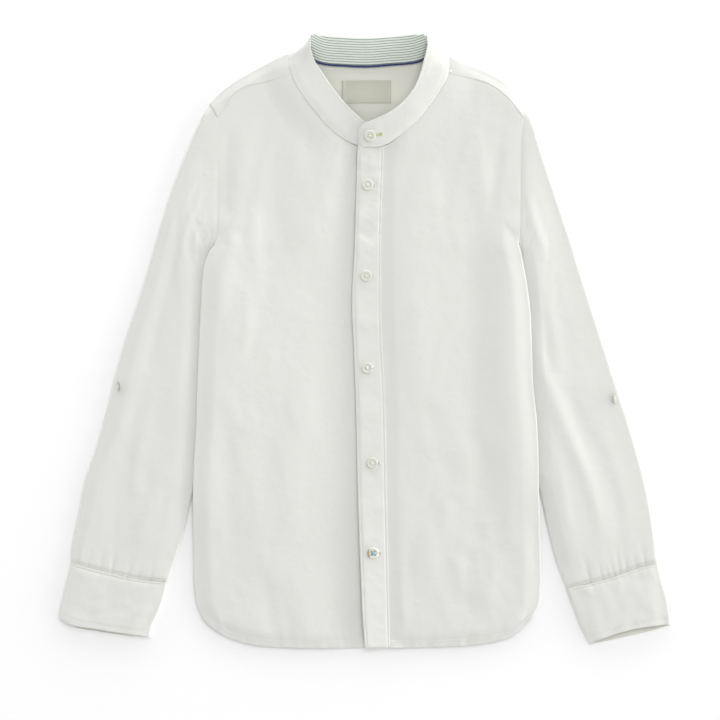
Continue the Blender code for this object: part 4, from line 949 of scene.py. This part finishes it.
# ---------------------------------------------------------------- the collar band
# Two layers sewn together along the upper edge and the ends and turned out, white outside and
# striped cotton inside. The neck edges of the body are caught between them.
COLLAR_SPAN = 12
COLLAR_DEEP = 26.0
FOOT_LAP = 0.7  # how far the outside runs down over the fronts' and the yoke's edges
COLLAR_EDGE = 1.3  # radius of the rolled upper edge
COLLAR_ROW, FOOT_ROW = 3.0, 2.4  # the stitching's distances from the upper edge and the foot
COLLAR_GROOVE = 0.12
OUTER_CRUMPLE, LINING_CRUMPLE = 0.16, 0.2
COLLAR_PUFF = 0.7  # from the band's middle to that of each layer
FOOT_DRAWN, FOOT_WIDE = 0.6, 7.0  # how much nearer the outside is at the foot
# How far the end with the buttonhole is pressed on to the other, and over what length.
END_LAID, END_LONG = 2.3 * np.array([0.25, 0, -1.0]), 3.2
band_up = np.unique(np.concatenate([[0.0, 0.02, 0.06, 0.1, 0.14], np.linspace(0, 1, 17),
                                    1 - np.array([0.14, 0.1, 0.075, 0.05, 0.03, 0.015, 0.005])]))
ring = through(COLLAR, np.linspace(0, len(COLLAR) - 1, COLLAR_SPAN * (len(COLLAR) - 1) + 1))
seam, upper = ring[:, :3], ring[:, 3:]
band = blend(seam[None], upper[None], band_up[:, None, None])
outward = normals(band)
length = lengths((seam + upper) / 2)
from_end = np.minimum(length, length[-1] - length)[None]
from_top = (1 - band_up[:, None]) * COLLAR_DEEP
inside = np.minimum(from_end, from_top)
puff = COLLAR_PUFF - edge_dip(inside, COLLAR_EDGE, COLLAR_PUFF) * 0.28
foot = FOOT_DRAWN * (1 - ease(band_up[:, None] * COLLAR_DEEP / FOOT_WIDE))
laid = bell(length / END_LONG)[None, :, None] * END_LAID
soft = crumple(length[None], band_up[:, None] * COLLAR_DEEP, 51, 40.0, 9.0, 0.8)
groove = COLLAR_GROOVE * bell((inside - COLLAR_ROW) / 0.8)
rim = ease(inside / 6)
swell = puff - foot + OUTER_CRUMPLE * soft * rim - groove
outer = band + outward * swell[..., None] + laid
lining = band - outward * (puff - LINING_CRUMPLE * soft * rim)[..., None] + laid
outer[0] -= FOOT_LAP * unit(outer[1] - outer[0])
collar = cloth("collar_band_outside", outer, [WHITE], "collar_band_outer")
collar_seams = [(outer[row], outward[row]) for row in (
    nearest_row(from_top[:, 0], COLLAR_ROW), nearest_row(band_up * COLLAR_DEEP, FOOT_ROW))]

# Striped lining: fine lines along the band, a sine of the distance up it, with edges that the
# weave breaks up.
STRIPED = cloth_look("striped_cotton", (0.775, 0.815, 0.76), (0.71, 0.75, 0.69))
STRIPE_COLOUR = (0.235, 0.32, 0.25, 1)
STRIPE, STRIPE_WAVER = 2.5 * MM, 0.25 * MM
tree = STRIPED.node_tree
uv = wired(tree, "TexCoord").outputs["UV"]
apart = wired(tree, "SeparateXYZ", {0: uv})
waver = wired(tree, "TexNoise", {"Vector": uv, "Scale": 220.0, "Detail": 1.0})
up_band = sums(tree, "MULTIPLY_ADD", waver.outputs["Fac"], STRIPE_WAVER, apart.outputs[1])
wave = sums(tree, "SINE", sums(tree, "MULTIPLY", up_band, 2 * math.pi / STRIPE))
colour = tree.nodes["Principled BSDF"].inputs["Base Color"]
ground = colour.links[0].from_socket
tree.links.new(mixed(tree, ramp(tree, wave, 0.35, 0.85), ground, STRIPE_COLOUR), colour)
collar_lining = cloth("collar_band_lining_inside", lining, [STRIPED], "collar_band_lining")

# ---------------------------------------------------------------- the neck piping
# A bias strip of blue cotton folded round a cord and caught in the seam at the back of the
# neck, where the band's lining meets the yoke.
BLUE = cloth_look("blue_bias_cotton", (0.026, 0.05, 0.19), (0.018, 0.036, 0.14), dents=0.15,
                  relief=0.05, sheen=0.25)
PIPING_WIDE = 1.7
PIPING_OFF, PIPING_FOOT = 0.85, 1.4  # its distance from the band's seam, and its lowest z
PIPING_TURNS = 16
PIPING_X = (-55.0, 61.0)
UV_ROUND, UV_LONG = 0.33, 118.0
behind = (NECK_SEAM[:, 1] > 270) & (NECK_SEAM[:, 2] < 2.4)
behind &= (NECK_SEAM[:, 0] > PIPING_X[0]) & (NECK_SEAM[:, 0] < PIPING_X[1])
line = on_line(NECK_SEAM[behind], np.linspace(0, 1, 150))
line += (0, -PIPING_OFF - PIPING_WIDE / 2, 0)
line[:, 2] = PIPING_FOOT + PIPING_WIDE / 2
turn = np.linspace(0, 2 * math.pi, PIPING_TURNS + 1)[:-1]
along = np.linspace(0, 1, len(line))[:, None]
wide = PIPING_WIDE / 2 * (1 + 0.07 * np.sin(58 * along + turn) + 0.05 * np.sin(131 * along))
wide = wide * np.minimum(1, 0.35 + 40 * np.minimum(along, 1 - along))
points = line[:, None] + np.dstack([0 * wide, wide * np.cos(turn), wide * np.sin(turn)])
faces, mapped = grid_faces(*points.shape[:2], ring=True)
uv = np.dstack(np.meshgrid(np.arange(PIPING_TURNS + 1) * UV_ROUND, along[:, 0] * UV_LONG))
put("neck_piping_cord", points.reshape(-1, 3), faces[:, ::-1],
    uv.reshape(-1, 2)[mapped[:, ::-1].ravel()], [BLUE], "neck_piping")

# ---------------------------------------------------------------- the label
# A blank woven patch, its ends folded under and stitched to the yoke.
LABEL_CLOTH = cloth_look("label_satin", (0.55, 0.555, 0.472), (0.49, 0.495, 0.412), dents=0.1,
                         relief=0.05, sheen=0.3)
LABEL_WIDE, LABEL_HIGH = 49.0, 23.0
LABEL_MIDDLE = (2.0, 250.0)
LABEL_Z, LABEL_CRUMPLE = 1.3, 0.07
LABEL_FOLD, LABEL_TURNED = 0.3, 3.2  # how much higher its ends are, and their width
LABEL_ROW = 3  # the column of points that its stitching follows, at each end
across = np.concatenate([np.array([0, 0.3, 0.8, 1.6, 3.2, 3.7, 4.2]),
                         np.linspace(5, LABEL_WIDE - 5, 22),
                         LABEL_WIDE - np.array([4.2, 3.7, 3.2, 1.6, 0.8, 0.3, 0])])
up = np.concatenate([[0, 0.25, 0.7], np.linspace(1.5, LABEL_HIGH - 1.5, 14),
                     LABEL_HIGH - np.array([0.7, 0.25, 0])])
x, y = np.meshgrid(across, up)
from_end = np.minimum(x, LABEL_WIDE - x)
folded = LABEL_FOLD * (1 - ease((from_end - LABEL_TURNED) / 0.8))
z = LABEL_Z + folded + LABEL_CRUMPLE * crumple(x, y, 61, 30.0, 8.0, 1.0)
z -= edge_dip(from_end, 0.8, LABEL_FOLD)
x, y = x + LABEL_MIDDLE[0] - LABEL_WIDE / 2, y + LABEL_MIDDLE[1] - LABEL_HIGH / 2
points = np.dstack([x, y, z + neck_bow(x, y)])
label = cloth("label_patch", points, [LABEL_CLOTH], "label", thick=0.5)
label_up = upwards(points)
stitches("label_sewing", [(points[1:-1, k], label_up[1:-1, k])
                          for k in (LABEL_ROW, len(across) - 1 - LABEL_ROW)],
         THREAD, long=1.2, pitch=1.7, wide=0.3, proud=0.3)

# ---------------------------------------------------------------- the buttons
# Turned four-hole buttons, cream on the placket and the band and tan on the sleeves, each sewn
# on with a cross of thread. They sit in stitched buttonholes of the layer that they close.
BUTTON_WIDE, TAB_BUTTON_WIDE = 11.5, 10.0
PLACKET_BUTTON_Y = (156.5, 65.5, -26.5, -121.5, -211.5)
PLACKET_BUTTON_X = (3.0, 1.5, 2.5, 7.5, 8.5)
COLLAR_BUTTON = (5.5, 205.0)
TAB_BUTTON = {"right": (-245.0, -45.0), "left": (249.5, -56.5)}
TAB_BUTTON_TILT = math.radians(62)
TAB_BUTTON_SUNK = 3.9  # how far the folded cloth round it hides it
TAB_BUTTON_OFF = 0.85  # from the fold's upper wall to a button laid on it
HOLE_WIDE, HOLE_APART = 1.15, 2.6
LAST_HOLE, LAST_APART = 1.7, 3.3  # of the lowest button, which has larger holes
BUTTON_CLEAR = 0.15  # between the placket and a button's foot
BUTTON_TURNS = 48
SHARP_ANGLE = math.radians(50)  # edges that bend by more stay sharp
STRAND_APART, STRAND_POINTS, STRAND_TURNS = 0.22, 9, 6
# Heights of a strand of thread: in a hole, of its arch, and of the second pair over the first.
STRAND_FOOT, STRAND_RISE, STRAND_CROSS = 0.6, 0.95, 0.14
BAR_PITCH, BAR_HALF = 0.42, 0.55  # of a buttonhole's stitches
OVERLAP_Z = 6.5  # at the collar's button, the end with the buttonhole lies above this
# Shares of the radius over which the rim's colour comes in: on most, and on the tan side, which is
# partly painted shade.
RIM_FADE, TAN_AND_SHADE_FADE = (0.55, 0.95), (0.46, 0.56)
# Radius as a share of the button's, and height in mm, from the middle of the top round the
# rim to the middle of the foot.
BUTTON_PROFILE = [(0, 1.34), (0.30, 1.34), (0.50, 1.36), (0.60, 1.41), (0.68, 1.50), (0.78, 1.58),
                  (0.88, 1.52), (0.96, 1.32), (1.0, 1.05), (0.99, 0.8), (0.92, 0.45), (0.75, 0.18),
                  (0.5, 0.03), (0, 0)]


def button_look(name, light, dark, rim, tan_and_shade_from=None):
    """Moulded resin: cloudy colour from slow noise, a darker rim by a mask of the button's own
    map, which is its radius, and a clear glossy coat. Given an x in metres for a tan side, the
    rim is wide and lies only below that x: partly the tan of the button's own edge and partly
    painted shade on the side away from the light."""
    look, tree, shader = new_look(name, light, {"Roughness": 0.38, "Coat Weight": 0.12,
                                                "Coat Roughness": 0.15})
    places = wired(tree, "TexCoord")
    cloud = wired(tree, "TexNoise", {"Vector": places.outputs["Object"], "Scale": 260.0,
                                     "Detail": 3.0, "Distortion": 1.5})
    resin = mixed(tree, cloud.outputs["Fac"], (*dark, 1), (*light, 1))
    radius = wired(tree, "SeparateXYZ", {0: places.outputs["UV"]}).outputs[0]
    edge = ramp(tree, radius, RIM_FADE[0] * MM, RIM_FADE[1] * MM)
    if tan_and_shade_from:
        # The tan side, partly painted shade: the rim only below this x, which lies away from the
        # light.
        across = wired(tree, "SeparateXYZ", {0: places.outputs["Object"]}).outputs[0]
        tan_and_shaded_side = ramp(tree, across, tan_and_shade_from, tan_and_shade_from - 0.8 * MM)
        wide = ramp(tree, radius, TAN_AND_SHADE_FADE[0] * MM, TAN_AND_SHADE_FADE[1] * MM)
        edge = sums(tree, "MULTIPLY", wide, tan_and_shaded_side)
    tree.links.new(mixed(tree, edge, resin, (*rim, 1)), shader.inputs["Base Color"])
    bump = wired(tree, "Bump", {"Height": cloud.outputs["Fac"], "Distance": 0.00004})
    tree.links.new(bump.outputs["Normal"], shader.inputs["Normal"])
    return look


def turned_button(wide, hole=HOLE_WIDE, apart=HOLE_APART):
    """A turned button's mesh: its profile round the axis, with four holes cut through it."""
    profile = smooth(np.array(BUTTON_PROFILE) * (wide / 2, 1), np.linspace(0, 1, 40))
    turn = np.arange(BUTTON_TURNS) * 2 * math.pi / BUTTON_TURNS
    points = np.dstack([profile[:, :1] * np.cos(turn), profile[:, :1] * np.sin(turn),
                        np.repeat(profile[:, 1:], BUTTON_TURNS, axis=1)])
    faces, _ = grid_faces(*points.shape[:2], ring=True)
    mesh = bpy.data.meshes.new("turned")
    mesh.from_pydata(points.reshape(-1, 3).tolist(), [], faces[:, ::-1].tolist())
    body = linked("turned", mesh)
    weld = body.modifiers.new("poles", "WELD")
    weld.merge_threshold = 0.001
    spare = [body]
    reach = apart / math.sqrt(2)
    for angle in (np.arange(4) + 0.5) * math.pi / 2:
        bpy.ops.mesh.primitive_cylinder_add(
            vertices=16, radius=hole / 2, depth=9,
            location=(reach * math.cos(angle), reach * math.sin(angle), 0))
        cut = body.modifiers.new("thread hole", "BOOLEAN")
        cut.object = bpy.context.object
        cut.operation, cut.solver = "DIFFERENCE", "EXACT"
        spare.append(bpy.context.object)
    bpy.context.view_layer.update()
    made = bpy.data.meshes.new_from_object(body.evaluated_get(
        bpy.context.evaluated_depsgraph_get()))
    for thing in spare:
        bpy.data.objects.remove(thing, do_unlink=True)
    while made.uv_layers:  # the cutters' own
        made.uv_layers.remove(made.uv_layers[0])
    return made


def seat_button(name, mesh, wide, look, thread, place, lean, node, spin, strand=0.3,
                apart=HOLE_APART):
    """A copy of the turned mesh and its cross of thread, moved so that its foot sits at this
    place and its axis follows lean. Both are one piece each in their own places."""
    lean = unit(lean)
    side = unit(np.cross((math.sin(spin), math.cos(spin), 0), lean))
    frames = np.stack([side, np.cross(lean, side), lean])
    co = np.empty(len(mesh.vertices) * 3)
    mesh.vertices.foreach_get("co", co)
    co = co.reshape(-1, 3)
    copy = mesh.copy()
    copy.name = name
    moved = (co @ frames + place) * MM
    copy.vertices.foreach_set("co", moved.ravel())
    corner = np.empty(len(copy.loops), int)
    copy.loops.foreach_get("vertex_index", corner)
    radius = np.hypot(co[:, 0], co[:, 1])[corner] / (wide / 2)
    layer = copy.uv_layers.new(name="radius")
    layer.data.foreach_set("uv", (np.stack([radius, co[corner, 2]], axis=1) * MM)
                           .astype(np.float32).ravel())
    stand(name, copy, [look], node)
    copy.set_sharp_from_angle(angle=SHARP_ANGLE)
    reach = apart / 2
    corners = [(reach, reach), (-reach, reach), (-reach, -reach), (reach, -reach)]
    lines = []
    for first, second in ((0, 2), (1, 3)):
        for shift in (-STRAND_APART, STRAND_APART):
            share = np.linspace(0, 1, STRAND_POINTS)[:, None]
            path = blend(np.array(corners[first]), np.array(corners[second]), share)
            path = path + np.array([shift, shift * (-1) ** first])
            high = STRAND_FOOT + STRAND_RISE * np.sin(math.pi * share) ** 0.4
            high += STRAND_CROSS * (first == 1)
            lines.append(np.hstack([path, high]) @ frames + place)
    ahead = np.array(lines)
    turn = np.arange(STRAND_TURNS) * 2 * math.pi / STRAND_TURNS
    run = unit(np.gradient(ahead, axis=1))
    beside = unit(np.cross(run, lean))
    rise = np.cross(beside, run)
    tube = ahead[:, :, None] + strand * (beside[:, :, None] * np.cos(turn)[:, None]
                                       + rise[:, :, None] * np.sin(turn)[:, None])
    faces, _ = grid_faces(STRAND_POINTS, STRAND_TURNS, ring=True)
    first = STRAND_POINTS * STRAND_TURNS * np.arange(len(lines))[:, None, None]
    faces = (faces[None] + first).reshape(-1, 4)
    put(name + "_thread", tube.reshape(-1, 3), faces,
        np.tile([(0, 0), (0.5, 0), (0.5, 1), (0, 1)], (len(faces), 1)), [thread])


def buttonhole(middle, run, up, long, wide=1.5):
    """Stitches round a slit: short bars across both of its long sides and its ends, as lines
    of one stitch each."""
    run = unit(run)
    beside = unit(np.cross(up, run))
    lines = []
    for way in (-1, 1):
        for at in np.arange(-long / 2, long / 2, BAR_PITCH):
            centre = middle + run * at + beside * way * wide * 0.55
            ends = centre + beside * np.array([[-BAR_HALF], [BAR_HALF]])
            lines.append((ends, np.array([up, up])))
    for end in (-1, 1):
        for at in np.arange(-wide, wide + 0.1, BAR_PITCH):
            centre = middle + run * end * (long / 2 + 0.3) + beside * at
            ends = centre + run * np.array([[-0.6], [0.6]])
            lines.append((ends, np.array([up, up])))
    return lines


CREAM = button_look("cream_resin", (0.695, 0.705, 0.625), (0.635, 0.645, 0.56),
                    (0.625, 0.635, 0.555))
TAN = button_look("pale_tan_resin", (0.46, 0.47, 0.40), (0.40, 0.41, 0.34), (0.40, 0.41, 0.34))
# The lowest button's tan side lies away from the light and is partly painted shade.
LAST = button_look("cream_resin_tan_and_shaded_side", (0.70, 0.70, 0.625), (0.64, 0.64, 0.555),
                   (0.42, 0.32, 0.19), tan_and_shade_from=0.0056)
CREAM_THREAD = cloth_look("cream_button_thread", (0.82, 0.815, 0.72), (0.76, 0.755, 0.66),
                          thread=FINE_PITCH, dents=0.02)
BLUE_THREAD = cloth_look("blue_button_thread", (0.16, 0.42, 0.60), (0.08, 0.30, 0.50),
                         thread=FINE_PITCH, dents=0.02)
GREEN_THREAD = cloth_look("yellow_green_thread", (0.70, 0.73, 0.40), (0.60, 0.64, 0.30),
                          thread=FINE_PITCH, dents=0.02)
button, tab_button = turned_button(BUTTON_WIDE), turned_button(TAB_BUTTON_WIDE)
last_button = turned_button(BUTTON_WIDE, LAST_HOLE, LAST_APART)
holes = []
for number, (x, y) in enumerate(zip(PLACKET_BUTTON_X, PLACKET_BUTTON_Y), start=1):
    away = np.hypot(placket_points[..., 0] - x, placket_points[..., 1] - y)
    under = np.unravel_index(away.argmin(), away.shape)
    seat = (x, y, placket_points[under][2] + PLACKET / 2 + BUTTON_CLEAR)
    last = number == len(PLACKET_BUTTON_Y)
    seat_button("button_%d_turned" % number, last_button if last else button, BUTTON_WIDE,
                LAST if last else CREAM, BLUE_THREAD if last else CREAM_THREAD, seat,
                (0.1 if last else 0.02, -0.03, 1), "button_%d" % number,
                0.3 * number, 0.42 if last else 0.34, LAST_APART if last else HOLE_APART)
    holes += buttonhole(placket_points[under] + (1.2, 0, 0), (1, 0, 0), placket_up[under], 12.5)
stitches("placket_buttonholes", holes, THREAD, long=1.15, pitch=3, wide=0.4,
         proud=0.72)

flat_outer, flat_up = outer.reshape(-1, 3), outward.reshape(-1, 3)
low = np.where(flat_outer[:, 2] < OVERLAP_Z, 100, 0)
nearest = int(np.argmin(np.hypot(flat_outer[:, 0] - COLLAR_BUTTON[0],
                                 flat_outer[:, 1] - COLLAR_BUTTON[1]) + low))
seat = flat_outer[nearest] + flat_up[nearest] * (CLOTH / 2 + 0.35)
seat_button("collar_button_turned", button, BUTTON_WIDE, CREAM, CREAM_THREAD, seat,
            flat_up[nearest], "collar_button", 0.2)
middle = flat_outer[nearest] + np.array([4.5, 0.6, 0.2])
stitches("collar_buttonhole", buttonhole(middle, (1, 0.12, 0.02), flat_up[nearest], 15.0),
         GREEN_THREAD, long=1.2, pitch=3, wide=0.42, proud=0.5)
tilt = np.array([math.sin(TAB_BUTTON_TILT), 0, math.cos(TAB_BUTTON_TILT)])
z = BACK_Z + SLEEVE_OUTER_GAP + TAB_BUTTON_OFF + TAB_BUTTON_WIDE / 2 * tilt[0] - TAB_BUTTON_SUNK
for side, sign in SIDES.items():
    seat_button("sleeve_button_turned_" + side, tab_button, TAB_BUTTON_WIDE, TAN, CREAM_THREAD,
                (*TAB_BUTTON[side], z), tilt * (sign, 1, 1), "sleeve_button_" + side,
                0.5)
for spare in (button, tab_button, last_button):
    bpy.data.meshes.remove(spare)

# ---------------------------------------------------------------- the sewing
# White cotton thread along the hems, the yoke's front seams, the cuffs, the placket and the
# collar band.
stitches("body_sewing", seams, THREAD, proud=0.36)
stitches("cuff_sewing", cuff_seams, THREAD, proud=0.76)
stitches("placket_sewing", placket_seams, THREAD, proud=0.61)
stitches("collar_sewing", collar_seams, THREAD, proud=0.36)

# ---------------------------------------------------------------- floor, light and camera
# A plain white table, soft light from all round with more from above right, and a camera
# straight above.
FLOOR_HALF = 4.0  # in metres, like the places of the lamp and the camera
TABLE_WHITE = (0.965, 0.965, 0.965)
TENT_ROOF, TENT_WALLS, TENT_UNEVEN = 0.61, 5.2, 4.6  # glows, and how much the walls' varies
TENT_LOW, TENT_HIGH = 0.02, 0.36  # height of a direction where the walls begin to dim, and end
TENT_BRIGHTEST = (0.80, 0.60, 0.0)  # direction of the brightest wall
LAMP_PLACE, LAMP_WIDE, LAMP_POWER = (0.9, 1.8, 3.1), 2.1, 44
CAMERA_PLACE = (-0.0045, -0.0185, 2.004)
mesh = bpy.data.meshes.new("floor")
corners = np.array([(-1, -1, 0), (1, -1, 0), (1, 1, 0), (-1, 1, 0)]) * FLOOR_HALF
mesh.from_pydata(corners.tolist(), [], [(0, 1, 2, 3)])
linked("floor", mesh)
paper, _, _ = new_look("white_table", TABLE_WHITE, {
    "Base Color": (*TABLE_WHITE, 1), "Roughness": 0.9, "Specular IOR Level": 0.1})
mesh.materials.append(paper)

# Light tent: its walls glow more than its roof, and most to the upper right.
world = bpy.data.worlds.new("light tent")
bpy.context.scene.world = world
world.use_nodes = True
tree = world.node_tree
looking = wired(tree, "TexCoord").outputs["Generated"]
apart = wired(tree, "SeparateXYZ", {0: looking})
low = wired(tree, "MapRange", {0: apart.outputs[2], 1: TENT_LOW, 2: TENT_HIGH, 3: 1.0, 4: 0.0},
            interpolation_type="SMOOTHSTEP").outputs[0]
towards = wired(tree, "VectorMath", {0: looking, 1: TENT_BRIGHTEST},
                operation="DOT_PRODUCT").outputs["Value"]
walls = sums(tree, "MULTIPLY_ADD", towards, TENT_UNEVEN, TENT_WALLS)
glow = sums(tree, "MULTIPLY_ADD", low, walls, TENT_ROOF)
tree.links.new(glow, tree.nodes["Background"].inputs["Strength"])
tree.nodes["Background"].inputs["Color"].default_value = (1, 1, 1, 1)

# A square lamp, turned to face the shirt.
light = bpy.data.lights.new("key", "AREA")
light.size, light.energy = LAMP_WIDE, LAMP_POWER
lamp = linked("key", light)
lamp.location = LAMP_PLACE
away = unit(LAMP_PLACE)
lamp.rotation_euler = (math.acos(away[2]), 0, math.atan2(away[1], away[0]) + math.pi / 2)

camera = linked("camera", bpy.data.cameras.new("camera"))
camera.data.sensor_width, camera.data.lens = 36.0, 100.0
camera.location = CAMERA_PLACE
camera.data.clip_end = 50
bpy.context.scene.camera = camera
bpy.context.scene.view_settings.view_transform = "Standard"
